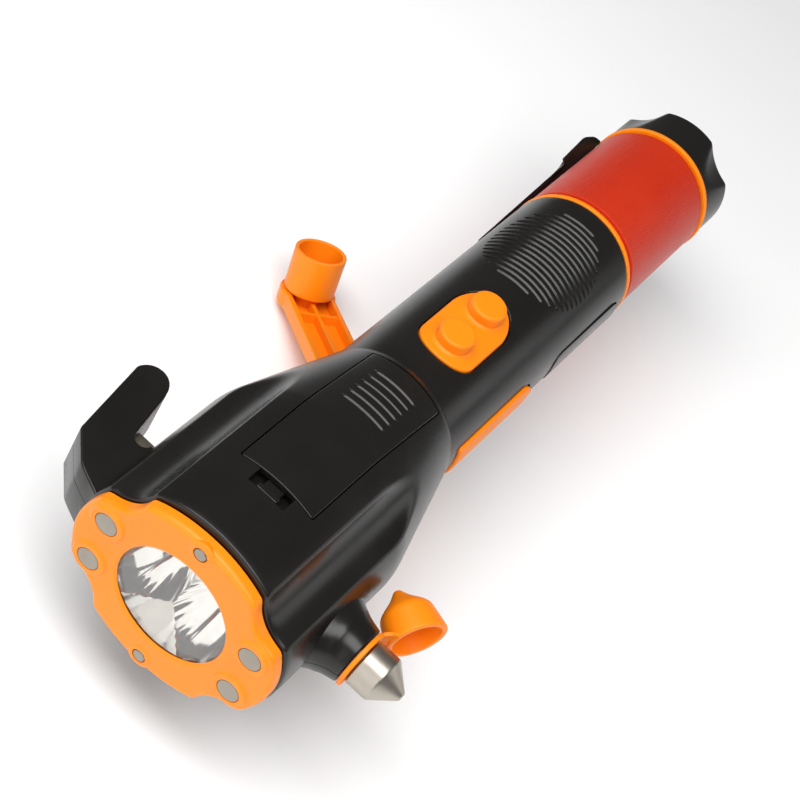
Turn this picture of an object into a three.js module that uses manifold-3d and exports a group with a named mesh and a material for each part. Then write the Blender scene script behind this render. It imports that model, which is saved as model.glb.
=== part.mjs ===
// A hand crank car torch: three-LED reflector in a magnetic bezel, belt cutter hook, glass hammer,
// battery door, two push buttons, fold-out dynamo crank and a red warning lantern at the tail.
// Lengths are in millimetres. The lens axis is X with the tail face at x = 0, and the buttons face +Z.
import * as THREE from 'three';
import { mergeVertices } from 'three/addons/utils/BufferGeometryUtils.js';
import Module from 'manifold-3d';

const wasm = await Module();
wasm.setup();

// Clearances that every fit shares
const fit_gap = 0.3;
const seam_gap = 0.2;
const overrun = 2;

// Lengths along the lens axis, from the tail to the bezel
const tail_length = 14;
const ring_width = 1.8;
const lantern_length = 46.8;
const handle_length = 94.6;
const flare_length = 37;
const head_length = 47.2;
const bezel_thickness = 3.6;
const magnet_stand = 0.8;

// Radii and walls of the body
const tail_radius = 20;
const lantern_radius = 20;
const ring_radius = 20.4;
const handle_tail_radius = 20.3;
const handle_neck_radius = 20.8;
const shoulder_height = 0.8;
const head_radius = 31.3;
const head_flat_share = 0.91;
const wall = 2;
const head_wall = 5.8;
const head_top_z = head_radius * head_flat_share;
const face_width = 15.2;
const window_radius = head_radius - face_width;
const round_sides = 36;

// The flutes that scallop the head and the bezel
const flute_radius = 30;
const flute_depth = 3.3;
const flute_angle = THREE.MathUtils.degToRad(38);
const flute_sides = 44;

const lens_x = tail_length + ring_width;
const front_ring_x = lens_x + lantern_length;
const handle_x = front_ring_x + ring_width;
const neck_x = handle_x + handle_length;
const head_x = neck_x + flare_length;
const front_x = head_x + head_length;
const bezel_x = front_x + fit_gap;
const face_x = bezel_x + bezel_thickness;
const magnet_x = face_x + magnet_stand;

const palette = {
  black: { color: 0x24211e, roughness: 0.45, metalness: 0 },
  orange: { color: 0xff9628, roughness: 0.45, metalness: 0 },
  rubber: { color: 0xff8a14, roughness: 0.7, metalness: 0 },
  red: { color: 0xc82d14, roughness: 0.25, metalness: 0 },
  clear: { color: 0xf4f4f6, roughness: 0.05, metalness: 0, transparent: true, opacity: 0.35 },
  chrome: { color: 0xe8e8ea, roughness: 0.08, metalness: 1 },
  steel: { color: 0xa59b91, roughness: 0.3, metalness: 1 },
  magnet: { color: 0xbeb9aa, roughness: 0.35, metalness: 1 },
  board: { color: 0x1f5a34, roughness: 0.6, metalness: 0 },
  white: { color: 0xeeeae0, roughness: 0.5, metalness: 0 },
  brass: { color: 0xb9964a, roughness: 0.35, metalness: 1 },
};
const materials = Object.fromEntries(
  Object.entries(palette).map(([name, look]) => [name, new THREE.MeshStandardMaterial(look)]));

// Turns a closed geometry into a solid that can be joined and cut, with its faces pointing out
function solid(geometry) {
  const bare = geometry.clone();
  bare.deleteAttribute('normal');
  bare.deleteAttribute('uv');
  const merged = mergeVertices(bare);
  const place = merged.attributes.position.array;
  const corners = [];
  let volume = 0;
  const corner = (i) => new THREE.Vector3().fromArray(place, 3 * i);
  for (let i = 0; i < merged.index.count; i += 3) {
    const [a, b, c] = [0, 1, 2].map((k) => merged.index.array[i + k]);
    if (a === b || b === c || c === a) continue;
    corners.push(a, b, c);
    volume += corner(a).dot(corner(b).cross(corner(c)));
  }
  if (volume < 0) corners.reverse();
  return new wasm.Manifold(new wasm.Mesh({
    numProp: 3,
    vertProperties: Float32Array.from(place),
    triVerts: Uint32Array.from(corners),
  }));
}

function geometryOf(body) {
  const { vertProperties, triVerts } = body.getMesh();
  const geometry = new THREE.BufferGeometry();
  geometry.setAttribute('position', new THREE.BufferAttribute(vertProperties, 3));
  geometry.setIndex(new THREE.BufferAttribute(triVerts, 1));
  const flat = geometry.toNonIndexed();
  flat.computeVertexNormals();
  return flat;
}

const join = (...bodies) => bodies.reduce((a, b) => a.add(b));
const cut = (body, ...tools) => tools.reduce((a, b) => a.subtract(b), body);

// Revolves [along, radius] points about X, Y or Z
function revolve(points, axis = 'x', sides = round_sides) {
  const closed = points.at(-1)[1] === 0 ? points : [...points, points[0]];
  const geometry = new THREE.LatheGeometry(closed.map(([t, r]) => new THREE.Vector2(r, t)), sides);
  if (axis === 'x') geometry.rotateZ(-Math.PI / 2);
  if (axis === 'z') geometry.rotateX(Math.PI / 2);
  return geometry;
}

// A round bar or disc between two stations on a line parallel to X, Y or Z
function bar(axis, from, to, radius, [u, v] = [0, 0], sides = 24) {
  const geometry = revolve([[from, 0], [from, radius], [to, radius], [to, 0]], axis, sides);
  const shift = { x: [0, u, v], y: [u, 0, v], z: [u, v, 0] }[axis];
  return geometry.translate(...shift);
}

function box(x0, x1, y0, y1, z0, z1) {
  return new THREE.BoxGeometry(x1 - x0, y1 - y0, z1 - z0)
    .translate((x0 + x1) / 2, (y0 + y1) / 2, (z0 + z1) / 2);
}

// Extrudes a plan outline in X and Y between two heights
function slab(shape, z0, z1, curveSegments = 8) {
  return new THREE.ExtrudeGeometry(shape, { depth: z1 - z0, bevelEnabled: false, curveSegments })
    .translate(0, 0, z0);
}

function roundedRectangle(x0, x1, y0, y1, corner) {
  const shape = new THREE.Shape();
  shape.absarc(x1 - corner, y1 - corner, corner, 0, Math.PI / 2);
  shape.absarc(x0 + corner, y1 - corner, corner, Math.PI / 2, Math.PI);
  shape.absarc(x0 + corner, y0 + corner, corner, Math.PI, 1.5 * Math.PI);
  shape.absarc(x1 - corner, y0 + corner, corner, 1.5 * Math.PI, 2 * Math.PI);
  return shape;
}

// A curved plate about the lens axis, from one angle to another, between two radii
function shellPlate(x0, x1, inner, outer, from, to, steps = 8) {
  const shape = new THREE.Shape();
  const angle = (k) => from + (to - from) * k / steps;
  for (let k = 0; k <= steps; k += 1) {
    const [c, s] = [Math.cos(angle(k)), Math.sin(angle(k))];
    if (k === 0) shape.moveTo(c * outer, s * outer);
    else shape.lineTo(c * outer, s * outer);
  }
  for (let k = steps; k >= 0; k -= 1) {
    shape.lineTo(Math.cos(angle(k)) * inner, Math.sin(angle(k)) * inner);
  }
  const plate = new THREE.ExtrudeGeometry(shape, { depth: x1 - x0, bevelEnabled: false });
  plate.applyMatrix4(new THREE.Matrix4().set(0, 0, 1, x0, 1, 0, 0, 0, 0, 1, 0, 0, 0, 0, 0, 1));
  return plate;
}

// Above the neck the body is squeezed in height, until it is oval at the head
function oval(x) {
  const share = THREE.MathUtils.clamp((x - neck_x) / flare_length, 0, 1);
  return 1 - (1 - head_flat_share) * share;
}

function flatten(body) {
  const geometry = geometryOf(body);
  const place = geometry.attributes.position;
  for (let i = 0; i < place.count; i += 1) place.setZ(i, place.getZ(i) * oval(place.getX(i)));
  return solid(geometry);
}

const torch = new THREE.Group();

function piece(name, material, shape, parent = torch) {
  const geometry = shape.isBufferGeometry ? shape : geometryOf(shape);
  const mesh = new THREE.Mesh(geometry, materials[material]);
  mesh.name = name;
  parent.add(mesh);
  return mesh;
}

// Casing outline
const bend_length = 3.2;
const bend_drop = 0.25;
const flare_slope = (head_radius - handle_neck_radius - shoulder_height) / flare_length;
const shoulder_length = 1.2;

function casingProfile(inset) {
  return [
    [handle_x, handle_tail_radius - inset],
    [neck_x, handle_neck_radius - inset],
    [neck_x + shoulder_length, handle_neck_radius + shoulder_height - inset],
    [head_x - bend_length, head_radius - bend_length * flare_slope - inset],
    [head_x + bend_length, head_radius - inset],
    [front_x, head_radius - inset],
  ];
}

function flutes(inset) {
  const distance = head_radius - flute_depth + flute_radius;
  const cutters = [];
  for (const up of [1, -1]) {
    for (const side of [1, -1]) {
      const place = [side * Math.cos(flute_angle) * distance, up * Math.sin(flute_angle) * distance];
      cutters.push(solid(bar('x', neck_x, magnet_x + overrun, flute_radius + inset, place, flute_sides)));
    }
  }
  return cutters;
}

const outline = (inset) => {
  const profile = casingProfile(inset);
  const closed = [[profile[0][0], 0], ...profile, [profile.at(-1)[0], 0]];
  return flatten(cut(solid(revolve(closed)), ...flutes(inset)));
};
const casing_form = outline(0);

// Hook of the belt cutter: a flat arm that runs back from the bezel, with its slot open to the tail
const hook_thickness = 13;
const hook_reach = 18;
const hook_length = 40.8;
const hook_tip_radius = 5.1;
const hook_root = 21.8;
const slot_root_width = 5;
const slot_mouth_width = 8.2;
const hook_knee_length = 10.5;
const hook_knee_reach = 14.2;
const hook_cheek_length = 3.4;
const hook_cheek_reach = 7.4;
const hook_overlap = 4.2;
const notch_radius = 3.4;
const hook_bevel = 0.6;

function hookShape() {
  const tip_x = front_x - hook_length + hook_tip_radius;
  const tip_y = -head_radius - hook_reach + hook_tip_radius;
  const lean = Math.atan2(slot_mouth_width - slot_root_width, hook_length - hook_root);
  const shape = new THREE.Shape();
  shape.moveTo(front_x - hook_root, -head_radius + hook_overlap);
  shape.lineTo(front_x - hook_root, -head_radius - slot_root_width);
  shape.absarc(tip_x, tip_y, hook_tip_radius, Math.PI / 2 - lean, 1.5 * Math.PI, false);
  shape.lineTo(front_x - hook_knee_length, -head_radius - hook_knee_reach);
  shape.lineTo(front_x - hook_cheek_length, -head_radius - hook_cheek_reach);
  shape.lineTo(front_x, -head_radius);
  shape.lineTo(front_x, -head_radius + hook_overlap);
  return shape;
}

const hook_form = solid(new THREE.ExtrudeGeometry(hookShape(), {
  depth: hook_thickness - 2 * hook_bevel,
  bevelThickness: hook_bevel,
  bevelSize: hook_bevel,
  bevelOffset: -hook_bevel,
  bevelSegments: 1,
  curveSegments: 6,
}).translate(0, 0, -hook_thickness / 2 + hook_bevel));

const blade_length = 13;
const blade_thickness = 0.8;
const blade_width = 5.4;
const blade_overhang = 0.6;
const blade_bevel = 1.6;
const blade_x = front_x - hook_root - blade_overhang;
const blade_y = -head_radius - slot_root_width + fit_gap;

function bladeForm() {
  const shape = new THREE.Shape();
  shape.moveTo(blade_x, 0);
  shape.lineTo(blade_x + blade_bevel, blade_thickness / 2);
  shape.lineTo(blade_x + blade_length, blade_thickness / 2);
  shape.lineTo(blade_x + blade_length, -blade_thickness / 2);
  shape.lineTo(blade_x + blade_bevel, -blade_thickness / 2);
  return slab(shape, 0, blade_width).rotateX(Math.PI / 2).translate(0, blade_y + blade_width, 0);
}

const blade_pocket = solid(box(blade_x - overrun, blade_x + blade_length + fit_gap,
  blade_y - fit_gap, blade_y + blade_width + fit_gap,
  -blade_thickness / 2 - fit_gap, blade_thickness / 2 + fit_gap));
const blade_notch = solid(bar('z', -hook_thickness, hook_thickness, notch_radius,
  [front_x - hook_root, -head_radius - slot_root_width / 2], 14));

// Glass hammer on the other side: a moulded boss that holds a steel striker
const hammer_setback = 22.6;
const boss_height = 7.7;
const boss_waist_height = 3.3;
const boss_fillet_height = 1.1;
const boss_sink = 4.3;
const boss_radius = 8;
const boss_waist_radius = 9.3;
const boss_foot_radius = 13.2;
const shank_radius = 4;
const loop_thickness = 1.2;
const striker_radius = 6.4;
const striker_length = 6.4;
const cone_length = 6.2;
const cone_tip_radius = 1;
const flange_radius = 6.4;
const flange_thickness = 2.4;
const flange_sink = 9.9;

const hammer_x = front_x - hammer_setback;
const boss_foot = head_radius - boss_sink;
const boss_fillet = head_radius + boss_fillet_height;
const boss_waist = head_radius + boss_waist_height;
const boss_end = head_radius + boss_height;
const flange_y = head_radius - flange_sink;
const striker_y = boss_end + loop_thickness + 2 * fit_gap;

const boss_form = solid(revolve([
  [boss_foot, 0],
  [boss_foot, boss_foot_radius],
  [head_radius - bend_drop, boss_foot_radius - bend_drop],
  [boss_fillet, (boss_foot_radius + boss_waist_radius) / 2],
  [boss_waist, boss_waist_radius],
  [boss_end, boss_radius],
  [boss_end, 0],
], 'y', 20).translate(hammer_x, 0, 0));
const shank_hole = solid(bar('y', flange_y, boss_end + overrun, shank_radius + fit_gap, [hammer_x, 0], 16));

piece('hammer', 'steel', revolve([
  [flange_y, 0],
  [flange_y, flange_radius],
  [flange_y + flange_thickness, flange_radius],
  [flange_y + flange_thickness, shank_radius],
  [striker_y, shank_radius],
  [striker_y, striker_radius],
  [striker_y + striker_length, striker_radius],
  [striker_y + striker_length + cone_length, cone_tip_radius],
  [striker_y + striker_length + cone_length, 0],
], 'y', 20).translate(hammer_x, 0, 0));

// Rubber cap of the hammer: a loop round the shank, a short strap and a tapered cup beside the striker
const cap_turn = new THREE.Group();
cap_turn.position.set(hammer_x, 0, 0);
torch.add(cap_turn);
const loop_radius = 8.1;
const cap_offset = 15.6;
const cap_mouth_height = 7.6;
const cap_mouth_y = boss_end + cap_mouth_height;
const cap_lean = THREE.MathUtils.degToRad(30);
const cap_side_length = 7.6;
const cap_cone_length = 6.4;
const cap_mouth_radius = 7.8;
const cap_shoulder_radius = 6.7;
const cap_wall = 1.5;
const cap_round = 1;
const strap_width = 6;
const cap_sides = 16;

function capForm() {
  const end = cap_side_length + cap_cone_length;
  const inner_shoulder = cap_shoulder_radius - cap_wall;
  const seat = (geometry) => geometry.rotateX(Math.PI).rotateZ(-cap_lean).translate(-cap_offset, cap_mouth_y, 0);
  const cup = seat(revolve([
    [0, 0],
    [0, cap_mouth_radius],
    [cap_side_length, cap_shoulder_radius],
    [cap_side_length + cap_round, cap_shoulder_radius - cap_round],
    [end - cap_round / 2, cap_round],
    [end, 0],
  ], 'y', cap_sides));
  const hollow = seat(revolve([
    [-overrun, 0],
    [-overrun, cap_mouth_radius - cap_wall],
    [cap_side_length - cap_round / 2, inner_shoulder],
    [end - cap_wall, 0],
  ], 'y', cap_sides));
  const loop_y = boss_end + fit_gap;
  const rim_x = -cap_offset + cap_mouth_radius * Math.cos(cap_lean);
  const rim_y = cap_mouth_y - cap_mouth_radius * Math.sin(cap_lean);
  const strap = new THREE.Shape();
  strap.moveTo(-loop_radius + loop_thickness, loop_y);
  strap.lineTo(-loop_radius + loop_thickness, loop_y + loop_thickness);
  strap.lineTo(rim_x, rim_y - loop_thickness / 2);
  strap.lineTo(rim_x - 2 * loop_thickness, rim_y - loop_thickness);
  strap.lineTo(-loop_radius - loop_thickness, loop_y);
  return cut(
    join(
      solid(cup),
      solid(bar('y', loop_y, loop_y + loop_thickness, loop_radius)),
      solid(slab(strap, -strap_width / 2, strap_width / 2)),
    ),
    solid(hollow),
    solid(bar('y', loop_y - overrun, loop_y + overrun, shank_radius + fit_gap)),
  );
}
piece('hammer_cap', 'rubber', capForm(), cap_turn);

// Crank: it turns on the hub below the neck, folds on a pin, and stands at its stop as it is wound
const hub_setback = 7.1;
const hub_x = neck_x - hub_setback;
const crank_turn = THREE.MathUtils.degToRad(46.2);
const crank_tilt = THREE.MathUtils.degToRad(21.4);
const crank_flat = 18;
const pin_drop = 5.9;
const pin_z = -crank_flat - pin_drop;
const pin_offset = 16;
const arm_length = 59.1;
const hub_recess_radius = 17;
const sweep_drop = 0.3;
const sweep_reach = 30;
const floor_thickness = 2;
const below = -2 * head_radius;
const above = 2 * head_radius;

// What lies below this surface is in the way of the turning crank: flat under the hub, then a cone
const sweepForm = (rise) => solid(revolve([
  [below, 0],
  [below, hub_recess_radius + sweep_reach],
  [rise - crank_flat - sweep_drop - sweep_reach * Math.tan(crank_tilt), hub_recess_radius + sweep_reach],
  [rise - crank_flat - sweep_drop, hub_recess_radius],
  [rise - crank_flat, hub_recess_radius - sweep_drop],
  [rise - crank_flat, 0],
], 'z', 28)).translate(hub_x, 0, 0);

// Cavity of the casing, open at the front and raised over the crank
const cavity_radius = head_radius - head_wall;
const flare_wall = 2.6;
const front_wall = 3.2;
const front_seat = 1.5;
const throat_radius = window_radius + front_seat;
const wire_hole_radius = 4;
const wire_hole_z = 8;

function cavityForm() {
  const shoulder_x = neck_x + shoulder_length;
  const bend_x = shoulder_x + (cavity_radius + flare_wall - handle_neck_radius - shoulder_height) / flare_slope;
  const flared = flatten(solid(revolve([
    [handle_x + wall, 0],
    [handle_x + wall, handle_tail_radius - wall],
    [shoulder_x, handle_neck_radius - wall],
    [bend_x, cavity_radius],
    [front_x - front_wall, cavity_radius],
    [front_x - front_wall, 0],
  ], 'x', 18)));
  const handle_floor = solid(box(handle_x, hub_x, below, above, below, floor_thickness - crank_flat));
  return join(
    cut(flared, handle_floor, sweepForm(floor_thickness)),
    solid(bar('x', front_x - front_wall - overrun, front_x + overrun, throat_radius)),
    solid(bar('x', handle_x - overrun, handle_x + wall + overrun, wire_hole_radius, [0, wire_hole_z], 12)));
}
const cavity = cavityForm();

// Screws that hold the halves together, in posts
const screw_setback = 35.6;
const head_screw_setback = 40;
const screw_x = handle_x + screw_setback;
const head_screw_x = front_x - head_screw_setback;
const screw_y = 12;
const head_screw_y = 17;
const post_radius = 4;
const screw_radius = 1.2;
const screw_head_radius = 2.6;
const screw_head_height = 2;
const screw_seat_z = -10;
const screw_length = 16;
const screw_places = [
  [screw_x, screw_y], [screw_x, -screw_y], [head_screw_x, head_screw_y], [head_screw_x, -head_screw_y]];
const post = (place, z0, z1) => solid(bar('z', z0, z1, post_radius, place, 10)).intersect(casing_form);
screw_places.forEach((place, k) => piece(`housing_screw_${k + 1}`, 'steel', revolve([
  [screw_seat_z - fit_gap - screw_head_height, 0],
  [screw_seat_z - fit_gap - screw_head_height, screw_head_radius],
  [screw_seat_z - fit_gap, screw_head_radius],
  [screw_seat_z - fit_gap, screw_radius],
  [screw_seat_z + screw_length, screw_radius],
  [screw_seat_z + screw_length, 0],
], 'z', 8).translate(place[0], place[1], 0)));

// Battery door on top of the head, with its latch tongue and grip lines
const door_setback = 2;
const door_length = 58.6;
const door_rear_x = neck_x + door_setback;
const door_front_x = door_rear_x + door_length;
const door_half_width = 11.4;
const door_thickness = 1.8;
const door_ledge = 1.3;
const door_corner = 1.2;
const tab_half_width = 1.5;
const tab_offset = 5;
const tab_drop = 5;
const tab_z = handle_neck_radius - tab_drop;
const tab_thickness = 1.2;
const tab_reach = 1.6;
const latch_length = 6;
const latch_half_width = 6;
const latch_depth = 3.2;
const tongue_length = 4;
const tongue_half_width = 2.6;
const tongue_thickness = 1.4;
const ridge_count = 6;
const ridge_pitch = 3.45;
const ridge_start = 8.4;
const ridge_width = 0.8;
const ridge_height = 0.4;
const ridge_half_width = 7;
const ridge_root_share = 0.8;

const doorPlan = (grow) => roundedRectangle(
  door_rear_x - grow, door_front_x + grow, -door_half_width - grow, door_half_width + grow, door_corner);
const door_prism = (grow) => solid(slab(doorPlan(grow), 0, above, 3));
const under_door = outline(door_thickness);
const under_ledge = outline(door_thickness + fit_gap);

function doorForm() {
  const panel = cut(casing_form.intersect(door_prism(-fit_gap)), under_door);
  const proud = outline(-ridge_height);
  const ridges = Array.from({ length: ridge_count }, (_, k) => {
    const x = door_rear_x + ridge_start + k * ridge_pitch;
    const crown = (handle_neck_radius + shoulder_height + (x - neck_x - shoulder_length) * flare_slope) * oval(x);
    return solid(box(x, x + ridge_width, -ridge_half_width, ridge_half_width,
      crown - door_thickness * ridge_root_share, above)).intersect(proud);
  });
  const tabs = [1, -1].map((side) => join(
    solid(box(door_rear_x - tab_reach, door_rear_x + tab_reach, side * tab_offset - tab_half_width,
      side * tab_offset + tab_half_width, tab_z, tab_z + tab_thickness)),
    solid(box(door_rear_x + fit_gap, door_rear_x + tab_reach, side * tab_offset - tab_half_width,
      side * tab_offset + tab_half_width, tab_z, above)).intersect(outline(door_thickness / 2)),
  ));
  const tongue_z = head_top_z - latch_depth / 2;
  const tongue = solid(box(door_front_x - door_thickness, door_front_x + tongue_length, -tongue_half_width,
    tongue_half_width, tongue_z - tongue_thickness, tongue_z));
  return join(panel, ...ridges, ...tabs, tongue);
}
piece('battery_door', 'black', doorForm());

const latch_recess = solid(box(door_front_x - overrun, door_front_x + latch_length, -latch_half_width,
  latch_half_width, head_top_z - latch_depth, above));
const door_seat = cut(door_prism(0), under_ledge);
const door_opening = door_prism(-door_ledge);

// Button pad in the top of the handle, with the two switches under it
const pad_rear_setback = 35.5;
const pad_front_setback = 17.5;
const torch_button_setback = 20.7;
const lantern_button_setback = 34.8;
const pad_rear_x = neck_x - pad_rear_setback;
const pad_front_x = neck_x - pad_front_setback;
const pad_half_width = 9.4;
const pad_rear_round = 5;
const pad_front_round = 5.8;
const pad_thickness = 1.2;
const pad_ledge = 1.3;
const pad_proud = 0.4;
const torch_button_x = neck_x - torch_button_setback;
const lantern_button_x = neck_x - lantern_button_setback;
const button_radius = 4.7;
const button_flange = 0.9;
const button_flange_height = 1;
const button_travel = 1.2;
const button_round = 0.8;
const torch_button_height = 1.8;
const lantern_button_height = 4.2;
const stem_radius = 1.8;
const switch_top_z = 12.6;
const switch_size = 6;
const switch_height = 2.6;
const board_thickness = 1.5;

function padPlan(grow) {
  const shape = new THREE.Shape();
  shape.absellipse(pad_front_x, 0, pad_front_round + grow, pad_half_width + grow, -Math.PI / 2, Math.PI / 2);
  shape.absellipse(pad_rear_x, 0, pad_rear_round + grow, pad_half_width + grow, Math.PI / 2, 1.5 * Math.PI);
  return shape;
}
const pad_prism = (grow) => solid(slab(padPlan(grow), 0, above, 5));
const button_hole = (x) => solid(bar('z', 0, above, button_radius + fit_gap, [x, 0], 14));
const pad_body = casing_form.intersect(pad_prism(-fit_gap));
const pad_top = outline(-pad_proud).intersect(pad_prism(-fit_gap - pad_proud));
piece('button_pad', 'rubber', cut(join(pad_body, pad_top), outline(pad_thickness),
  button_hole(torch_button_x), button_hole(lantern_button_x)));

const flange_reach = button_radius + button_flange;
const button_seat_z = Math.sqrt((handle_tail_radius - wall) ** 2 - flange_reach ** 2) - fit_gap;

function buttonForm(x, height, dish) {
  const top = handle_neck_radius + height;
  const rim = button_radius - button_round;
  const crown = dish > 0 ? [[top, rim], [top, rim - button_round], [top - dish, 0]] : [[top, rim], [top, 0]];
  return revolve([
    [switch_top_z + button_travel + fit_gap, 0],
    [switch_top_z + button_travel + fit_gap, stem_radius],
    [button_seat_z - button_flange_height, stem_radius],
    [button_seat_z - button_flange_height, flange_reach],
    [button_seat_z, flange_reach],
    [button_seat_z, button_radius],
    [top - button_round, button_radius],
    ...crown,
  ], 'z', 14).translate(x, 0, 0);
}
const dish_depth = 0.6;
piece('torch_button', 'rubber', buttonForm(torch_button_x, torch_button_height, dish_depth));
piece('lantern_button', 'rubber', buttonForm(lantern_button_x, lantern_button_height, 0));

const switchForm = (x) => join(
  solid(box(x - switch_size / 2, x + switch_size / 2, -switch_size / 2, switch_size / 2,
    switch_top_z - switch_height, switch_top_z - switch_height / 3)),
  solid(bar('z', switch_top_z - switch_height / 2, switch_top_z, stem_radius, [x, 0], 10)));
piece('torch_switch', 'black', switchForm(torch_button_x));
piece('lantern_switch', 'black', switchForm(lantern_button_x));
const board_z = switch_top_z - switch_height - board_thickness;
const board_half_width = 10;
const board_margin = 8;
piece('switch_board', 'board', box(lantern_button_x - board_margin, torch_button_x + board_margin,
  -board_half_width, board_half_width, board_z, board_z + board_thickness));

// Grooves moulded across the top of the handle for the thumb, in an oval patch
const groove_count = 17;
const groove_start = 7.2;
const groove_pitch = 2.25;
const groove_width = 1;
const groove_depth = 0.5;
const groove_half_angle = THREE.MathUtils.degToRad(50);
const groove_middle = THREE.MathUtils.degToRad(95);
const groove_margin_share = 0.06;

function grooves() {
  return Array.from({ length: groove_count }, (_, k) => {
    const along = (2 * k / (groove_count - 1) - 1) * (1 - groove_margin_share);
    const reach = groove_half_angle * Math.sqrt(1 - along * along);
    const x = handle_x + groove_start + k * groove_pitch;
    return solid(shellPlate(x, x + groove_width, handle_tail_radius - groove_depth, ring_radius + overrun,
      groove_middle - reach, groove_middle + reach, 4));
  });
}

// Covers on the side: a rubber flap over the charging socket, and a clipped-in panel behind it
const cover_pocket_radius = 19.6;
const cover_half_angle = THREE.MathUtils.degToRad(16);
const cover_proud = 0.8;
const port_cover_setback = 42;
const port_cover_length = 37;
const side_panel_setback = 4;
const side_panel_length = 36;
const socket_setback = 28;
const port_cover_x = neck_x - port_cover_setback;
const side_panel_x = handle_x + side_panel_setback;
const socket_x = neck_x - socket_setback;
const socket_length = 11;
const socket_height = 5.6;
const socket_wall = 0.8;
const socket_depth = 6;
const socket_y = 18.2;
const plug_gap = 0.6;
const pull_radius = 2.4;

const coverPlate = (x, length, grow, inner, outer) => shellPlate(x - grow, x + length + grow, inner, outer,
  -cover_half_angle - grow / handle_tail_radius, cover_half_angle + grow / handle_tail_radius, 3);
const cover_pocket = (x, length) => solid(coverPlate(x, length, fit_gap, cover_pocket_radius, above));
const plug_inset = socket_wall + plug_gap;
const plug = solid(box(socket_x + plug_inset, socket_x + socket_length - plug_inset,
  socket_y - 2 * socket_wall, cover_pocket_radius + 2 * fit_gap,
  -socket_height / 2 + plug_inset, socket_height / 2 - plug_inset));
const port_plate = solid(coverPlate(port_cover_x, port_cover_length, 0,
  cover_pocket_radius + fit_gap, handle_neck_radius + cover_proud));
const pull_notch = solid(bar('y', handle_neck_radius, above, pull_radius, [port_cover_x, 0], 10));
piece('port_cover', 'rubber', join(cut(port_plate, pull_notch), plug));
piece('side_panel', 'black', solid(coverPlate(side_panel_x, side_panel_length, 0,
  cover_pocket_radius + fit_gap, handle_neck_radius)));
piece('charging_socket', 'steel', cut(
  solid(box(socket_x, socket_x + socket_length, socket_y - socket_depth, socket_y,
    -socket_height / 2, socket_height / 2)),
  solid(box(socket_x + socket_wall, socket_x + socket_length - socket_wall, socket_y - socket_depth + socket_wall,
    socket_y + overrun, -socket_height / 2 + socket_wall, socket_height / 2 - socket_wall))));
const socket_opening = solid(box(socket_x - fit_gap, socket_x + socket_length + fit_gap, socket_y - socket_depth,
  above, -socket_height / 2 - fit_gap, socket_height / 2 + fit_gap));

// The two halves of the casing, parted at the height of the lens axis
const well_radius = 10.2;
const well_wall = 1.6;
const well_depth = 13.2;
const knob_x = hub_x - pin_offset - arm_length;
const plinth_radius = 15.5;
const plinth_height = 3.5;
const bush_radius = 5.5;
const bush_height = 2.1;
const shaft_radius = 3;
const foot_cut = 1.5;
const foot_z = foot_cut - head_top_z;
const foot_end = 8;
const boss_pad_radius = 8.5;

const gear_module = 0.8;
const drive_teeth = 30;
const pinion_teeth = 8;
const idler_teeth = 28;
const centre_slack = 0.1;
const idler_x = hub_x - gear_module * (drive_teeth + pinion_teeth) / 2 - centre_slack;
const generator_x = idler_x - gear_module * (idler_teeth + pinion_teeth) / 2 - centre_slack;
const axle_radius = 1.2;
const axle_foot_z = -15;
const idler_boss_radius = 3;
const gear_z = -12;
const gear_height = 2.8;
const plate_thickness = 1.2;
const plate_z = -5.6;
const plate_half_width = 13;
const plate_rear_margin = 9.7;
const plate_front_margin = 8.1;
const plate_start_x = generator_x - plate_rear_margin;
const plate_end_x = hub_x + plate_front_margin;
const ledge_length = 4;
const ledge_overlap = 1.5;
const ledge_height = 2.6;

// Batteries: three small cells in a tray under the door
const cell_radius = 5.25;
const cell_length = 44.5;
const cell_setback = 9;
const cell_x = neck_x + cell_setback;
const cell_offset = 5.6;
const upper_cell_z = 11.2;
const lower_cell_z = 2;
const tray_wall = 1.2;
const tray_rib_thickness = 2;
const tray_z = lower_cell_z - cell_radius - fit_gap - tray_wall;
const tray_rib_half_width = 7;

const clip_width = 12;
const clip_stem_width = 5;
const clip_z = -4;
const clip_root_setback = 1.8;
const clip_root_x = handle_x + clip_root_setback;
const clip_root_length = 12.4;
const clip_seat = 19.6;
const clip_foot_z = clip_z - clip_width / 2;
const clip_stem_z = clip_foot_z + clip_stem_width;
const clip_pocket = solid(box(clip_root_x - fit_gap, clip_root_x + clip_root_length + fit_gap, below,
  -clip_seat + fit_gap, clip_foot_z - fit_gap, clip_stem_z + fit_gap));

const stud_radius = 1.8;
const stud_inset = 4.8;
const stud_z = head_top_z - stud_inset;
const stud_length = 8.5;
const stud_proud = 0.4;
const stud_hole = (up) => solid(bar('x', face_x + stud_proud - stud_length - fit_gap, face_x + overrun,
  stud_radius + fit_gap, [0, up * stud_z], 12));

const shared_cuts = [
  blade_pocket, blade_notch, shank_hole, clip_pocket, socket_opening,
  cover_pocket(port_cover_x, port_cover_length), cover_pocket(side_panel_x, side_panel_length),
  stud_hole(1), stud_hole(-1),
];
const boss_pad = solid(bar('y', flange_y + flange_thickness + fit_gap, head_radius,
  boss_pad_radius, [hammer_x, 0], 16));
const shell_form = cut(join(cut(join(casing_form, hook_form, boss_form), cavity), boss_pad), ...shared_cuts);
const plate_ledges = [1, -1].flatMap((side) => [plate_start_x + overrun, plate_end_x - ledge_length].map((x) =>
  solid(box(x, x + ledge_length, side * (plate_half_width - ledge_overlap), side * handle_neck_radius,
    plate_z - fit_gap - ledge_height, plate_z - fit_gap)).intersect(casing_form)));
const tray_ribs = [cell_x + cell_length / 6, cell_x + cell_length * 5 / 6].map((x) =>
  solid(box(x - tray_rib_thickness / 2, x + tray_rib_thickness / 2, -tray_rib_half_width, tray_rib_half_width,
    below, tray_z - fit_gap)).intersect(casing_form));

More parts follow.
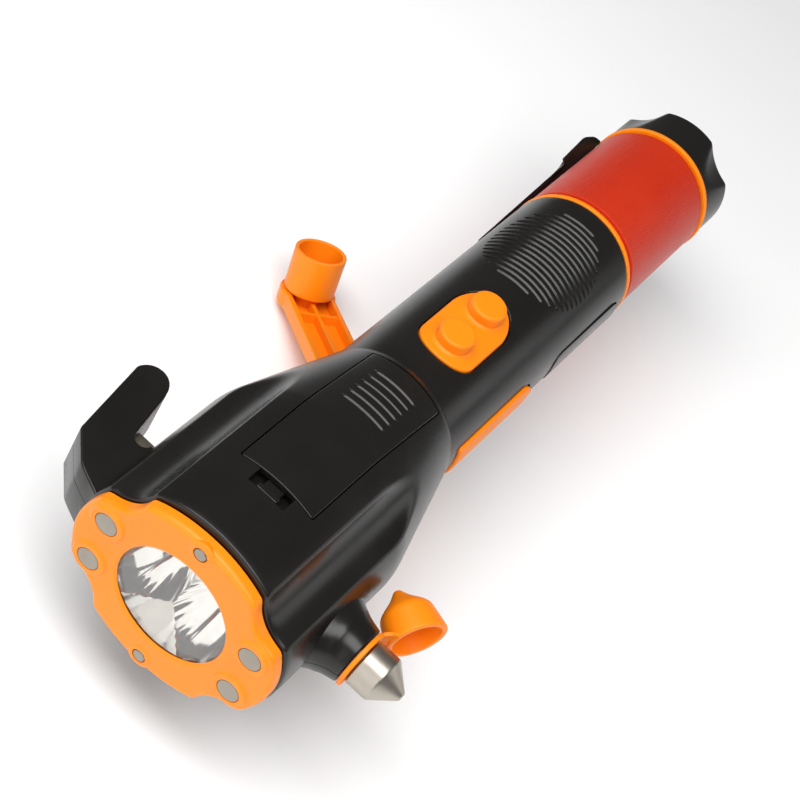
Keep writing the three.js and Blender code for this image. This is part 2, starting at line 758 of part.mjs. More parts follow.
function lowerHousing() {
  const half = cut(shell_form, solid(box(0, face_x, below, above, -seam_gap, above)));
  const raised = [
    solid(bar('z', -crank_flat, -crank_flat + plinth_height, plinth_radius, [hub_x, 0], 20)),
    solid(bar('z', -crank_flat, -crank_flat + plinth_height + bush_height, bush_radius, [hub_x, 0], 16)),
    solid(bar('z', -crank_flat, gear_z - fit_gap, idler_boss_radius, [idler_x, 0], 10)),
    solid(bar('z', -crank_flat, -crank_flat + well_depth + well_wall, well_radius + well_wall, [knob_x, 0], 18))
      .intersect(casing_form),
    ...screw_places.map((place) => post(place, below, -seam_gap)),
    ...plate_ledges,
    ...tray_ribs,
  ];
  const holes = [
    sweepForm(0),
    solid(box(handle_x + wall, hub_x, below, above, below, -crank_flat)),
    solid(box(hub_x, front_x - foot_end, below, above, below, foot_z)),
    solid(bar('z', below, -crank_flat + well_depth, well_radius, [knob_x, 0], 18)),
    solid(bar('z', below, above, shaft_radius + fit_gap, [hub_x, 0], 16)),
    solid(bar('z', axle_foot_z - fit_gap, above, axle_radius + fit_gap, [idler_x, 0], 10)),
    ...screw_places.flatMap((place) => [
      solid(bar('z', below, screw_seat_z, screw_head_radius + fit_gap, place, 10)),
      solid(bar('z', below, above, screw_radius + fit_gap, place, 8)),
    ]),
  ];
  return cut(join(half, ...raised), ...holes);
}

function upperHousing() {
  const half = cut(shell_form, solid(box(0, face_x, below, above, below, 0)));
  const slots = [1, -1].map((side) => solid(box(door_rear_x, door_rear_x + door_ledge + overrun,
    side * tab_offset - tab_half_width - fit_gap, side * tab_offset + tab_half_width + fit_gap,
    tab_z - fit_gap, above)));
  return cut(
    join(half, ...screw_places.map((place) => post(place, 0, above))),
    ...screw_places.map((place) => solid(bar('z', -overrun, screw_seat_z + screw_length + fit_gap,
      screw_radius + fit_gap, place, 8))),
    cut(pad_prism(0), outline(pad_thickness + fit_gap)), pad_prism(-pad_ledge),
    button_hole(lantern_button_x), button_hole(torch_button_x),
    door_seat, door_opening, latch_recess, ...slots,
    ...grooves());
}
piece('lower_housing', 'black', lowerHousing());
piece('upper_housing', 'black', upperHousing());

// Steel blade in the hook
piece('cutter_blade', 'steel', bladeForm());

// Bezel with its four magnets and two studs
const bezel_chamfer = 1.2;
const bezel_inset = 0.3;
const window_ledge = 1.6;
const window_seat_radius = window_radius + window_ledge;
const window_seat_depth = 0.6;
const window_bevel = 0.9;
const window_thickness = 1.4;
const magnet_radius = 3.3;
const magnet_length = 3.3;
const magnet_inset = 8.5;
const magnet_y = head_radius - magnet_inset;
const magnet_z = 7.7;
const collar_width = 1.1;
const collar_height = 0.5;
const stud_collar_height = 0.3;
const magnet_places = [[magnet_y, magnet_z], [magnet_y, -magnet_z], [-magnet_y, -magnet_z], [-magnet_y, magnet_z]];

function bezelForm() {
  const rim = head_radius - bezel_inset;
  const plate = cut(solid(revolve([
    [bezel_x, 0], [bezel_x, rim], [face_x - bezel_chamfer, rim], [face_x, rim - bezel_chamfer], [face_x, 0],
  ])), ...flutes(bezel_inset));
  const bevel = solid(revolve([
    [face_x - window_seat_depth, 0],
    [face_x - window_seat_depth, window_radius],
    [face_x, window_radius + window_bevel],
    [face_x + overrun, window_radius + window_bevel],
    [face_x + overrun, 0],
  ], 'x', 24));
  const collars = [
    ...magnet_places.map((place) => solid(bar('x', bezel_x + overrun, face_x + collar_height,
      magnet_radius + collar_width, place, 14))),
    ...[1, -1].map((up) => solid(bar('x', bezel_x + overrun, face_x + stud_collar_height,
      stud_radius + collar_width, [0, up * stud_z], 10))),
  ];
  return cut(
    join(flatten(plate), ...collars),
    solid(bar('x', bezel_x - overrun, face_x - window_seat_depth, window_seat_radius, [0, 0], 24)),
    solid(bar('x', bezel_x, face_x, window_radius, [0, 0], 24)),
    bevel,
    ...magnet_places.map((place) => solid(bar('x', magnet_x - magnet_length - fit_gap, magnet_x,
      magnet_radius + fit_gap, place, 14))),
    stud_hole(1), stud_hole(-1));
}
piece('bezel', 'orange', bezelForm());
magnet_places.forEach((place, k) =>
  piece(`magnet_${k + 1}`, 'magnet', bar('x', magnet_x - magnet_length, magnet_x, magnet_radius, place, 14)));
const stud = (up) => bar('x', face_x + stud_proud - stud_length, face_x + stud_proud, stud_radius, [0, up * stud_z], 12);
piece('bezel_stud_top', 'magnet', stud(1));
piece('bezel_stud_bottom', 'magnet', stud(-1));

// Window, three-dish reflector and its lights
const window_x = face_x - window_seat_depth - fit_gap;
piece('lens_window', 'clear', bar('x', window_x - window_thickness, window_x, window_seat_radius - fit_gap, [0, 0], 24));

const reflector_overlap = 1.1;
const reflector_radius = window_radius + reflector_overlap;
const reflector_depth = 13;
const reflector_thickness = 1.2;
const reflector_x = window_x - window_thickness - fit_gap;
const led_radius = 2.4;
const seams = [83, 224, 295].map(THREE.MathUtils.degToRad);
const seam_steps = 4;
const arc_step = THREE.MathUtils.degToRad(18);
const dish_shares = [0, 0.45, 1];

// Each dish fills the sector between two seams, and is centred where a circle fits the sector
const dishes = seams.map((from, k) => {
  const to = k + 1 < seams.length ? seams[k + 1] : seams[0] + 2 * Math.PI;
  const distance = reflector_radius / (1 + Math.min(1, Math.sin((to - from) / 2)));
  const middle = (from + to) / 2;
  return { from, to, centre: new THREE.Vector2(Math.cos(middle) * distance, Math.sin(middle) * distance) };
});

function reflectorForm() {
  const vertices = [];
  const quad = (a, b, c, d) => vertices.push(a, b, c, a, c, d);
  const polar = (radius, angle) => new THREE.Vector2(radius * Math.cos(angle), radius * Math.sin(angle));
  for (const { from, to, centre } of dishes) {
    const arcs = Math.ceil((to - from) / arc_step);
    const edge = [];
    for (let k = 0; k < seam_steps; k += 1) edge.push(polar(reflector_radius * k / seam_steps, from));
    for (let k = 0; k <= arcs; k += 1) edge.push(polar(reflector_radius, from + (to - from) * k / arcs));
    for (let k = seam_steps - 1; k > 0; k -= 1) edge.push(polar(reflector_radius * k / seam_steps, to));
    const sink = (ring, p, drop) => {
      const reach = edge[p].distanceTo(centre);
      const inner = led_radius + fit_gap;
      const radius = inner + (reach - inner) * dish_shares[ring];
      const flat = edge[p].clone().sub(centre).setLength(radius).add(centre);
      return new THREE.Vector3(
        reflector_x - reflector_depth * (1 - (radius / reach) ** 2) - drop, flat.x, flat.y);
    };
    for (let p = 0; p < edge.length; p += 1) {
      const q = (p + 1) % edge.length;
      for (let ring = 0; ring + 1 < dish_shares.length; ring += 1) {
        quad(sink(ring, p, 0), sink(ring + 1, p, 0), sink(ring + 1, q, 0), sink(ring, q, 0));
        const drop = reflector_thickness;
        quad(sink(ring, p, drop), sink(ring, q, drop), sink(ring + 1, q, drop), sink(ring + 1, p, drop));
      }
      quad(sink(0, p, 0), sink(0, q, 0), sink(0, q, reflector_thickness), sink(0, p, reflector_thickness));
      const last = dish_shares.length - 1;
      if (p >= seam_steps && p < seam_steps + arcs) {
        quad(sink(last, p, 0), sink(last, p, reflector_thickness),
          sink(last, q, reflector_thickness), sink(last, q, 0));
      }
    }
  }
  return solid(new THREE.BufferGeometry().setFromPoints(vertices));
}
piece('reflector', 'chrome', reflectorForm());

const led_board_thickness = 1.6;
const led_board_radius = reflector_radius - 2 * reflector_overlap;
const led_board_x = reflector_x - reflector_depth - reflector_thickness - fit_gap;
const led_height = 3.2;
const led_round = 1.2;
dishes.forEach(({ centre }, k) => piece(`led_${k + 1}`, 'white', revolve([
  [led_board_x + fit_gap, 0],
  [led_board_x + fit_gap, led_radius],
  [led_board_x + led_height - led_round, led_radius],
  [led_board_x + led_height - led_round / 3, led_radius - led_round / 2],
  [led_board_x + led_height, led_radius - 1.5 * led_round],
  [led_board_x + led_height, 0],
], 'x', 10).translate(0, centre.x, centre.y)));
piece('led_board', 'board', bar('x', led_board_x - led_board_thickness, led_board_x, led_board_radius, [0, 0], 24));

// Cells, tray and contacts
const cell_places = [[cell_offset, upper_cell_z], [-cell_offset, upper_cell_z], [0, lower_cell_z]];
const nub_radius = 1.9;
const nub_length = 0.8;
cell_places.forEach(([y, z], k) => piece(`battery_${k + 1}`, 'brass', revolve([
  [cell_x, 0],
  [cell_x, cell_radius],
  [cell_x + cell_length - nub_length, cell_radius],
  [cell_x + cell_length - nub_length, nub_radius],
  [cell_x + cell_length, nub_radius],
  [cell_x + cell_length, 0],
], 'x', 12).translate(0, y, z)));

const contact_room = 1;
const contact_thickness = 0.4;
const tray_end = 1.4;
const tray_rise = 1.3;
const tray_top_z = upper_cell_z + tray_rise;
const tray_half_width = cell_offset + cell_radius + fit_gap + tray_wall;
const tray_start_x = cell_x - contact_room - tray_end;
const tray_end_x = cell_x + cell_length + contact_room + tray_end;

function trayForm() {
  const block = join(
    solid(box(tray_start_x, tray_end_x, -tray_half_width, tray_half_width, lower_cell_z + tray_wall, tray_top_z)),
    solid(box(tray_start_x, tray_end_x, -cell_radius - fit_gap - tray_wall, cell_radius + fit_gap + tray_wall,
      tray_z, tray_top_z)));
  const inside = [tray_start_x + tray_end, tray_end_x - tray_end];
  return cut(block,
    ...cell_places.map((place) => solid(bar('x', ...inside, cell_radius + fit_gap, place, 12))),
    solid(box(...inside, -tray_half_width + tray_wall, tray_half_width - tray_wall, upper_cell_z, above)),
    solid(box(...inside, -cell_radius - fit_gap, cell_radius + fit_gap, lower_cell_z, above)));
}
piece('battery_tray', 'black', trayForm());

function contactForm(x, side) {
  const strip = join(
    solid(box(x, x + contact_thickness, -tray_half_width + tray_wall + 2 * fit_gap, tray_half_width - tray_wall - 2 * fit_gap,
      upper_cell_z - nub_radius, upper_cell_z + nub_length)),
    solid(box(x, x + contact_thickness, -nub_radius, nub_radius, lower_cell_z - nub_radius, upper_cell_z)));
  const bumps = cell_places.map(([y, z]) => {
    const start = side > 0 ? x : x + contact_thickness;
    const tip = start + side * (contact_thickness + contact_room - 2 * fit_gap);
    return solid(bar('x', Math.min(start, tip), Math.max(start, tip), nub_radius / 2, [y, z], 6));
  });
  return join(strip, ...bumps);
}
piece('battery_contacts_rear', 'brass', contactForm(tray_start_x + tray_end + fit_gap / 2, 1));
piece('battery_contacts_front', 'brass', contactForm(tray_end_x - tray_end - fit_gap / 2 - contact_thickness, -1));

// Gear train from the crank to the generator
const pressure_angle = THREE.MathUtils.degToRad(28);
const addendum_share = 0.75;
const dedendum_share = 0.95;
const backlash = 0.14;

// Involute teeth, with a tooth centred on the phase angle
function gearShape(teeth, phase, flank_shares, bore) {
  const pitch = gear_module * teeth / 2;
  const base = pitch * Math.cos(pressure_angle);
  const root = pitch - dedendum_share * gear_module;
  const tip = pitch + addendum_share * gear_module;
  const involute = (radius) => {
    const angle = Math.acos(Math.min(1, base / radius));
    return Math.tan(angle) - angle;
  };
  const half = Math.PI / (2 * teeth) - backlash / (2 * pitch) + involute(pitch);
  const flank = flank_shares.map((share) => {
    const radius = root + (tip - root) * share;
    return [radius, half - involute(radius)];
  });
  const shape = new THREE.Shape();
  for (let k = 0; k < teeth; k += 1) {
    const middle = phase + 2 * Math.PI * k / teeth;
    const points = [
      ...flank.map(([radius, angle]) => [radius, middle - angle]),
      ...flank.toReversed().map(([radius, angle]) => [radius, middle + angle]),
    ];
    points.forEach(([radius, angle], i) => {
      const [x, y] = [radius * Math.cos(angle), radius * Math.sin(angle)];
      if (k === 0 && i === 0) shape.moveTo(x, y);
      else shape.lineTo(x, y);
    });
  }
  shape.holes.push(new THREE.Path().absarc(0, 0, bore, 0, 2 * Math.PI, true));
  return shape;
}

// Phase that puts a gear in mesh with one whose centre lies ahead of it along +X
const meshed = (phase, teeth, follower_teeth) =>
  Math.PI / follower_teeth - (phase - Math.PI) * teeth / follower_teeth;
const coarse = [0, 1];
const fine = [0, 0.4, 1];
const idler_wheel_gap = 0.6;
const idler_wheel_z = gear_z + gear_height + idler_wheel_gap;
const idler_wheel_height = 2.2;
const idler_phase = meshed(0, drive_teeth, pinion_teeth);
const pinion_phase = meshed(idler_phase, idler_teeth, pinion_teeth);
const generator_shaft_radius = 1;
const shaft_bore_radius = shaft_radius + fit_gap;

piece('drive_gear', 'white', slab(gearShape(drive_teeth, 0, coarse, shaft_bore_radius), gear_z,
  gear_z + gear_height, 4).translate(hub_x, 0, 0));
piece('idler_gear', 'white', join(
  solid(slab(gearShape(pinion_teeth, idler_phase, fine, axle_radius + fit_gap), gear_z, idler_wheel_z + fit_gap, 3)),
  solid(slab(gearShape(idler_teeth, idler_phase, coarse, axle_radius + fit_gap), idler_wheel_z,
    idler_wheel_z + idler_wheel_height, 3)),
).translate(idler_x, 0, 0));
piece('generator_pinion', 'brass', slab(gearShape(pinion_teeth, pinion_phase, fine, generator_shaft_radius + fit_gap),
  idler_wheel_z - fit_gap, idler_wheel_z + idler_wheel_height + fit_gap, 3).translate(generator_x, 0, 0));
piece('idler_axle', 'steel', bar('z', axle_foot_z, plate_z + plate_thickness + axle_radius, axle_radius, [idler_x, 0], 12));

const generator_radius = 11;
const generator_height = 12.3;
const generator_z = plate_z + plate_thickness + fit_gap;
const generator_bore_depth = 2.2;
const generator_round = 1;
const generator_bore = generator_shaft_radius + fit_gap;
piece('generator', 'steel', cut(
  solid(revolve([
    [generator_z, 0],
    [generator_z, generator_radius],
    [generator_z + generator_height - generator_round, generator_radius],
    [generator_z + generator_height, generator_radius - generator_round],
    [generator_z + generator_height, 0],
  ], 'z', 24)),
  solid(bar('z', generator_z - overrun, generator_z + generator_bore_depth, generator_bore, [0, 0], 8)),
).translate(generator_x, 0, 0));
piece('generator_shaft', 'steel', bar('z', idler_wheel_z - fit_gap, generator_z + generator_bore_depth - fit_gap,
  generator_shaft_radius, [generator_x, 0], 8));

const gear_plate = cut(
  solid(box(plate_start_x, plate_end_x, -plate_half_width, plate_half_width, plate_z, plate_z + plate_thickness)),
  solid(bar('z', -overrun + plate_z, overrun, shaft_bore_radius, [hub_x, 0], 16)),
  solid(bar('z', -overrun + plate_z, overrun, axle_radius + fit_gap, [idler_x, 0], 10)),
  solid(bar('z', -overrun + plate_z, overrun, generator_bore, [generator_x, 0], 8)));
piece('gear_plate', 'steel', gear_plate);

// Crank hub, arm and knob, with X along the arm and Z along the knob's axis
const shaft_foot_drop = 0.2;
const shaft_foot_z = pin_z - shaft_foot_drop;
piece('crank_shaft', 'steel', bar('z', shaft_foot_z, plate_z + plate_thickness + gear_module, shaft_radius, [hub_x, 0], 16));

const hub_frame = new THREE.Group();
hub_frame.position.set(hub_x, 0, pin_z);
hub_frame.rotation.z = Math.PI + crank_turn;
torch.add(hub_frame);
const arm_frame = new THREE.Group();
arm_frame.position.set(pin_offset, 0, 0);
arm_frame.rotation.y = crank_tilt;
hub_frame.add(arm_frame);

const hub_radius = 14;
const hub_top = -crank_flat - fit_gap - pin_z;
const hub_bottom = -2;
const hub_edge = 0.8;
const pin_radius = 1.2;
const knuckle_radius = 2.6;
const knuckle_setback = 3.6;
const arm_half_width = 7.8;
const ear_thickness = 1.6;
const knuckle_half_width = arm_half_width - ear_thickness - fit_gap;

function hubForm() {
  const disc = cut(
    solid(revolve([
      [hub_bottom, 0], [hub_bottom, hub_radius - hub_edge], [hub_bottom + hub_edge, hub_radius],
      [hub_top, hub_radius], [hub_top, 0],
    ], 'z', 28)),
    solid(box(pin_offset - knuckle_setback, above, below, above, below, above)));
  return cut(
    join(disc,
      solid(box(0, pin_offset, -knuckle_half_width, knuckle_half_width, hub_bottom, knuckle_radius - fit_gap)),
      solid(bar('y', -knuckle_half_width, knuckle_half_width, knuckle_radius, [pin_offset, 0], 16))),
    solid(bar('y', -hub_radius, hub_radius, pin_radius + fit_gap, [pin_offset, 0], 10)),
    solid(bar('z', shaft_foot_z - pin_z - fit_gap, above, shaft_bore_radius, [0, 0], 16)));
}
piece('crank_hub', 'orange', hubForm(), hub_frame);
piece('crank_hinge_pin', 'steel', bar('y', -arm_half_width + seam_gap, arm_half_width - seam_gap, pin_radius,
  [pin_offset, 0], 10), hub_frame);

const arm_end_radius = 8.6;
const ear_inset = 0.1;
const arm_underside = -2.6;
const arm_floor = 1.4;
const arm_top = 2.2;
const arm_rib = 1.2;
const rib_drop = 0.6;
const cross_rib_from_knob = 12;
const cross_rib_from_pin = 9;
const rivet_radius = 1.5;
const rivet_head_radius = 3;
const rivet_boss_radius = 3.8;

function armPlan(inset) {
  const [half, end] = [arm_half_width - inset, arm_end_radius - inset];
  const spread = Math.PI - Math.asin(half / end);
  const shape = new THREE.Shape();
  shape.moveTo(0, half);
  shape.lineTo(0, -half);
  shape.absarc(arm_length, 0, end, -spread, spread);
  return shape;
}

function armForm() {
  const floor_top = arm_underside + arm_floor;
  const rib_top = arm_top - rib_drop;
  const ear = solid(bar('y', -arm_half_width + ear_inset, arm_half_width - ear_inset, knuckle_radius, [0, 0], 16));
  const tray = cut(
    join(solid(slab(armPlan(0), arm_underside, arm_top, 7)), ear),
    solid(slab(armPlan(ear_thickness), floor_top, above, 7)),
    solid(box(-overrun - knuckle_radius, knuckle_radius + 2 * fit_gap, -arm_half_width + ear_thickness,
      arm_half_width - ear_thickness, below, above)));
  const inner = arm_half_width - ear_thickness / 2;
  const ribs = [
    box(cross_rib_from_pin, arm_length, -arm_rib / 2, arm_rib / 2, floor_top - fit_gap, rib_top),
    box(cross_rib_from_pin, cross_rib_from_pin + arm_rib, -inner, inner, floor_top - fit_gap, rib_top),
    box(arm_length - cross_rib_from_knob - arm_rib, arm_length - cross_rib_from_knob, -inner, inner,
      floor_top - fit_gap, rib_top),
    bar('z', floor_top - fit_gap, arm_top, rivet_boss_radius, [arm_length, 0], 14),
  ].map(solid);
  return cut(join(tray, ...ribs),
    solid(bar('y', -arm_end_radius, arm_end_radius, pin_radius + fit_gap, [0, 0], 10)),
    solid(bar('z', below, above, rivet_radius + fit_gap, [arm_length, 0], 12)));
}
piece('crank_arm', 'orange', armForm(), arm_frame);

const knob_length = 13.4;
const knob_base_radius = 7.7;
const knob_mouth_radius = 7.9;
const knob_wall = 1.2;
const knob_floor = 2;
const knob_round = 0.8;
const knob_base = arm_top + fit_gap;
const knob_top = knob_base + knob_length;
piece('crank_knob', 'orange', revolve([
  [knob_base, rivet_radius + fit_gap],
  [knob_base, knob_base_radius - knob_round],
  [knob_base + knob_round, knob_base_radius],
  [knob_top, knob_mouth_radius],
  [knob_top, knob_mouth_radius - knob_wall],
  [knob_base + knob_floor, knob_base_radius - knob_wall],
  [knob_base + knob_floor, rivet_radius + fit_gap],
], 'z', 20).translate(arm_length, 0, 0), arm_frame);
const rivet_seat = knob_base + knob_floor + fit_gap;
piece('knob_rivet', 'steel', revolve([
  [arm_underside + seam_gap, 0],
  [arm_underside + seam_gap, rivet_radius],
  [rivet_seat, rivet_radius],
  [rivet_seat, rivet_head_radius],
  [rivet_seat + knob_round, rivet_head_radius],
  [rivet_seat + 2 * knob_round, rivet_head_radius / 2],
  [rivet_seat + 2 * knob_round, 0],
], 'z', 12).translate(arm_length, 0, 0), arm_frame);

// Belt clip along the side of the lantern, away from the hammer
const clip_thickness = 1.2;
const clip_clear = ring_radius + fit_gap;
const clip_pad_thickness = 2.6;
const clip_pad_rise = 1.1;
const clip_pad_length = 17.8;
const clip_pad_round = 1.8;
const clip_tip = fit_gap + clip_thickness / 2;
const clip_pad_x = tail_length + clip_tip;
const clip_taper = 17;

function clipForm() {
  const root_end = clip_root_x + clip_root_length;
  const outer = clip_clear + clip_thickness;
  const pad_start = clip_pad_x + clip_pad_length;
  const pad_foot = clip_clear + clip_pad_thickness;
  const pad_top = pad_foot + clip_pad_rise;
  const shape = new THREE.Shape();
  shape.moveTo(root_end, clip_seat);
  shape.lineTo(root_end, clip_clear);
  shape.lineTo(root_end - clip_thickness, outer);
  shape.lineTo(pad_start, outer);
  shape.lineTo(pad_start, pad_foot);
  shape.lineTo(clip_pad_x + 2 * clip_pad_round, pad_top);
  shape.lineTo(clip_pad_x + clip_pad_round / 2, pad_top - clip_pad_round / 2);
  shape.lineTo(clip_pad_x, pad_top - 2 * clip_pad_round);
  shape.lineTo(clip_pad_x, clip_clear);
  shape.lineTo(clip_root_x, clip_clear);
  shape.lineTo(clip_root_x, clip_seat);
  const taper = new THREE.Shape();
  taper.moveTo(pad_start, clip_foot_z + clip_width);
  taper.lineTo(pad_start + clip_taper, clip_stem_z);
  taper.lineTo(root_end + overrun, clip_stem_z);
  taper.lineTo(root_end + overrun, above);
  taper.lineTo(pad_start, above);
  return cut(
    solid(slab(shape, -clip_width / 2, clip_width / 2).rotateX(Math.PI).translate(0, 0, clip_z)),
    solid(slab(taper, 0, above).rotateX(Math.PI / 2)));
}
piece('belt_clip', 'black', clipForm());

// Lantern: a red tube between two rings, lit from the handle's end
const lantern_wall = 2.2;
const lens_groove_width = 1.3;
const lens_groove_depth = 0.8;
const ring_bore = lantern_radius - lantern_wall;
const lantern_board_thickness = 1.5;
const lantern_led_radius = 2;
const lantern_led_height = 4;
const lantern_led_circle = 8;

function lanternLens() {
  const [from, to] = [lens_x + fit_gap, front_ring_x - fit_gap];
  const neck = lantern_radius - lens_groove_depth;
  return revolve([
    [from, ring_bore],
    [from, neck],
    [from + lens_groove_width, neck],
    [from + lens_groove_width, lantern_radius],
    [to - lens_groove_width, lantern_radius],
    [to - lens_groove_width, neck],
    [to, neck],
    [to, ring_bore],
  ], 'x', 32);
}
piece('lantern_lens', 'red', lanternLens());
const ringForm = (from, to, bore) => revolve([[from, bore], [from, ring_radius], [to, ring_radius], [to, bore]], 'x', 28);
piece('lantern_ring_rear', 'orange', ringForm(tail_length + fit_gap, lens_x, ring_bore));
piece('lantern_ring_front', 'orange', ringForm(front_ring_x, handle_x - fit_gap, ring_bore));
piece('lantern_board', 'board', join(
  solid(bar('x', front_ring_x, front_ring_x + lantern_board_thickness, ring_bore - fit_gap, [0, 0], 18)),
  ...[0, 1, 2].map((k) => solid(bar('x', front_ring_x - lantern_led_height, front_ring_x + lantern_board_thickness / 2,
    lantern_led_radius, [lantern_led_circle * Math.cos(2 * Math.PI * k / 3),
      lantern_led_circle * Math.sin(2 * Math.PI * k / 3)], 8)))));

// Tail cap, scalloped by four thumb scoops, with a spigot in the lantern
const cap_bevel = 1.4;
const cap_shell = 2.4;
const spigot_length = 4;
const scoop_radius = 20;
const scoop_depth = 2.6;
const scoop_end = tail_length - 1;
const scoop_turn = THREE.MathUtils.degToRad(52.5);
const scoop_lean = Math.atan2(scoop_depth, scoop_end);

function tailCap() {
  const spigot_radius = ring_bore - fit_gap;
  const hollow_radius = spigot_radius - wall;
  const shell = solid(revolve([
    [0, 0],
    [0, tail_radius - cap_bevel],
    [cap_bevel, tail_radius],
    [tail_length, tail_radius],
    [tail_length, spigot_radius],
    [tail_length + spigot_length, spigot_radius],
    [tail_length + spigot_length, hollow_radius],
    [cap_shell, hollow_radius],
    [cap_shell, 0],
  ], 'x', 32));
  const scoops = [0, 1, 2, 3].map((quarter) => solid(
    bar('x', -tail_length, 2 * tail_length, scoop_radius, [0, 0], 28)
      .rotateZ(scoop_lean)
      .translate(0, tail_radius - scoop_depth + scoop_radius / Math.cos(scoop_lean), 0)
      .rotateX(scoop_turn + quarter * Math.PI / 2)));
  return cut(shell, ...scoops);
}
piece('tail_cap', 'black', tailCap());

export default torch;
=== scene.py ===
"""A hand crank car torch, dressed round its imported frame. Shapes are worked out in millimetres, in the
frame of the part: X along the lens axis from the tail, Z up through the buttons, Y towards the hammer."""

import bmesh
import bpy
import numpy as np
from mathutils import Matrix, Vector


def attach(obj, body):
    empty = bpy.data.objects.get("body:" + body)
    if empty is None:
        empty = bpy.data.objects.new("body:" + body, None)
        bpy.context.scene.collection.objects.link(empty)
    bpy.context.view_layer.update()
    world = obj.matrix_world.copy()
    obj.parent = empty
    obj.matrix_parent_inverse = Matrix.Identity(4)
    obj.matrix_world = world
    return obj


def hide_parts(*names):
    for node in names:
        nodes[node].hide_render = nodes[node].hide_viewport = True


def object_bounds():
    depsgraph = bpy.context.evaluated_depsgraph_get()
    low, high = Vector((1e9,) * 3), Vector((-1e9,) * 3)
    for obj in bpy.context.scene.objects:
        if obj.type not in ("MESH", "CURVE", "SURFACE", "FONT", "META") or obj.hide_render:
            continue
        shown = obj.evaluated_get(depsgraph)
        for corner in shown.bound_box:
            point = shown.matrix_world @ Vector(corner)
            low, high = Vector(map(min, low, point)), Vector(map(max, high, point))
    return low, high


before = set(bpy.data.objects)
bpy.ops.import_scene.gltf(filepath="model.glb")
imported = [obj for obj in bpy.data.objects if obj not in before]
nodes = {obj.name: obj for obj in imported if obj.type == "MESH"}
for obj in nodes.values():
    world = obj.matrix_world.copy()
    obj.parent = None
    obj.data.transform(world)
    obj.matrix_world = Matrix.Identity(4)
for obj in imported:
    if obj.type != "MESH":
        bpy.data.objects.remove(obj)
cad_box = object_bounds()


# The camera that took the photograph, solved from the bezel, the rings and the buttons. It is a long
# lens about 0.6 m away that looks down on the bezel.
camera_data = bpy.data.cameras.new("photo_camera")
camera_data.lens, camera_data.sensor_width = 91.24, 36
camera_data.clip_start, camera_data.clip_end = 0.01, 20
camera = bpy.data.objects.new("photo_camera", camera_data)
bpy.context.scene.collection.objects.link(camera)
camera_right = np.array([-0.55877453, 0.7346102, 0.38486215])
camera_down = np.array([0.48635874, 0.66616086, -0.56540684])
camera_ahead = np.array([-0.67173373, -0.12875387, -0.72951781])
camera_place = np.array([0.5095688, 0.0679285, 0.3906099])
view = np.eye(4)
view[:3] = np.stack([camera_right, -camera_down, -camera_ahead, camera_place], 1)
camera.matrix_world = Matrix(view.tolist())
bpy.context.scene.camera = camera


# The studio: a white sweep under the torch and soft boxes round it. The wide box overhead draws the light
# lines on the ribs, the one ahead lights the bezel and the dishes, and the last one the handle's far side.
def linear(code):
    """Turns an sRGB hex colour into the linear colour that the renderer works in."""
    share = np.array([int(code[k:k + 2], 16) for k in (1, 3, 5)]) / 255
    return (*np.where(share <= 0.04045, share / 12.92, ((share + 0.055) / 1.055) ** 2.4), 1.0)


def add(tree, kind, settings=None, **links):
    """Adds a node to a material: settings go to its properties or its input sockets, links join inputs."""
    made = tree.nodes.new("ShaderNode" + kind)
    for name, value in (settings or {}).items():
        if isinstance(name, str) and hasattr(made, name):
            setattr(made, name, value)
        else:
            made.inputs[name].default_value = value
    for name, source in links.items():
        socket = made.inputs[int(name[1:])] if name[0] == "_" else made.inputs[name.replace("_", " ")]
        tree.links.new(source, socket)
    return made


sweep_size, sweep_z = 3.0, cad_box[0].z - 0.0005
sweep_mesh = bpy.data.meshes.new("white_sweep")
along, across = np.meshgrid(np.linspace(-1, 1, 25), np.linspace(-1, 1, 25), indexing="ij")
sweep_points = np.stack([along * sweep_size, across * sweep_size, np.full_like(along, sweep_z)], -1)
cells = np.arange(25 * 25).reshape(25, 25)
sweep_quads = np.stack([cells[:-1, :-1], cells[1:, :-1], cells[1:, 1:], cells[:-1, 1:]], -1).reshape(-1, 4)
sweep_mesh.from_pydata(sweep_points.reshape(-1, 3).tolist(), [], sweep_quads.tolist())
white_sweep = bpy.data.objects.new("white_sweep", sweep_mesh)
bpy.context.scene.collection.objects.link(white_sweep)
paper = bpy.data.materials.new("white_backdrop_paper")
paper.use_nodes = True
paper_shader = paper.node_tree.nodes["Principled BSDF"]
paper_shader.inputs["Base Color"].default_value = linear("#FFFFFF")
paper_shader.inputs["Roughness"].default_value = 0.9
paper_shader.inputs["Specular IOR Level"].default_value = 0.2
sweep_mesh.materials.append(paper)

world = bpy.data.worlds.new("studio_air")
world.use_nodes = True
world.node_tree.nodes["Background"].inputs["Color"].default_value = linear("#FFFFFF")
world.node_tree.nodes["Background"].inputs["Strength"].default_value = 0.16
bpy.context.scene.world = world
bpy.context.scene.view_settings.view_transform = "Standard"

for name, place, size, power in [
    ("top_box", (0.34, -0.02, 0.62), (1.0, 0.36), 6.6),
    ("front_box", (0.95, -0.10, 0.30), (0.95, 0.7), 3.2),
    ("right_box", (-0.30, 0.75, 0.22), (0.6, 0.3), 0.8),
]:
    box_light = bpy.data.lights.new(name, "AREA")
    box_light.shape, box_light.size, box_light.size_y, box_light.energy = "RECTANGLE", *size, power
    lamp = bpy.data.objects.new(name, box_light)
    bpy.context.scene.collection.objects.link(lamp)
    aim = np.array([0.13, 0.0, 0.0]) - np.array(place)
    aim /= np.linalg.norm(aim)
    side = np.cross(aim, [0, 0, 1])
    side /= np.linalg.norm(side)
    pose = np.eye(4)
    pose[:3] = np.stack([side, np.cross(side, aim), -aim, np.array(place)], 1)
    lamp.matrix_world = Matrix(pose.tolist())


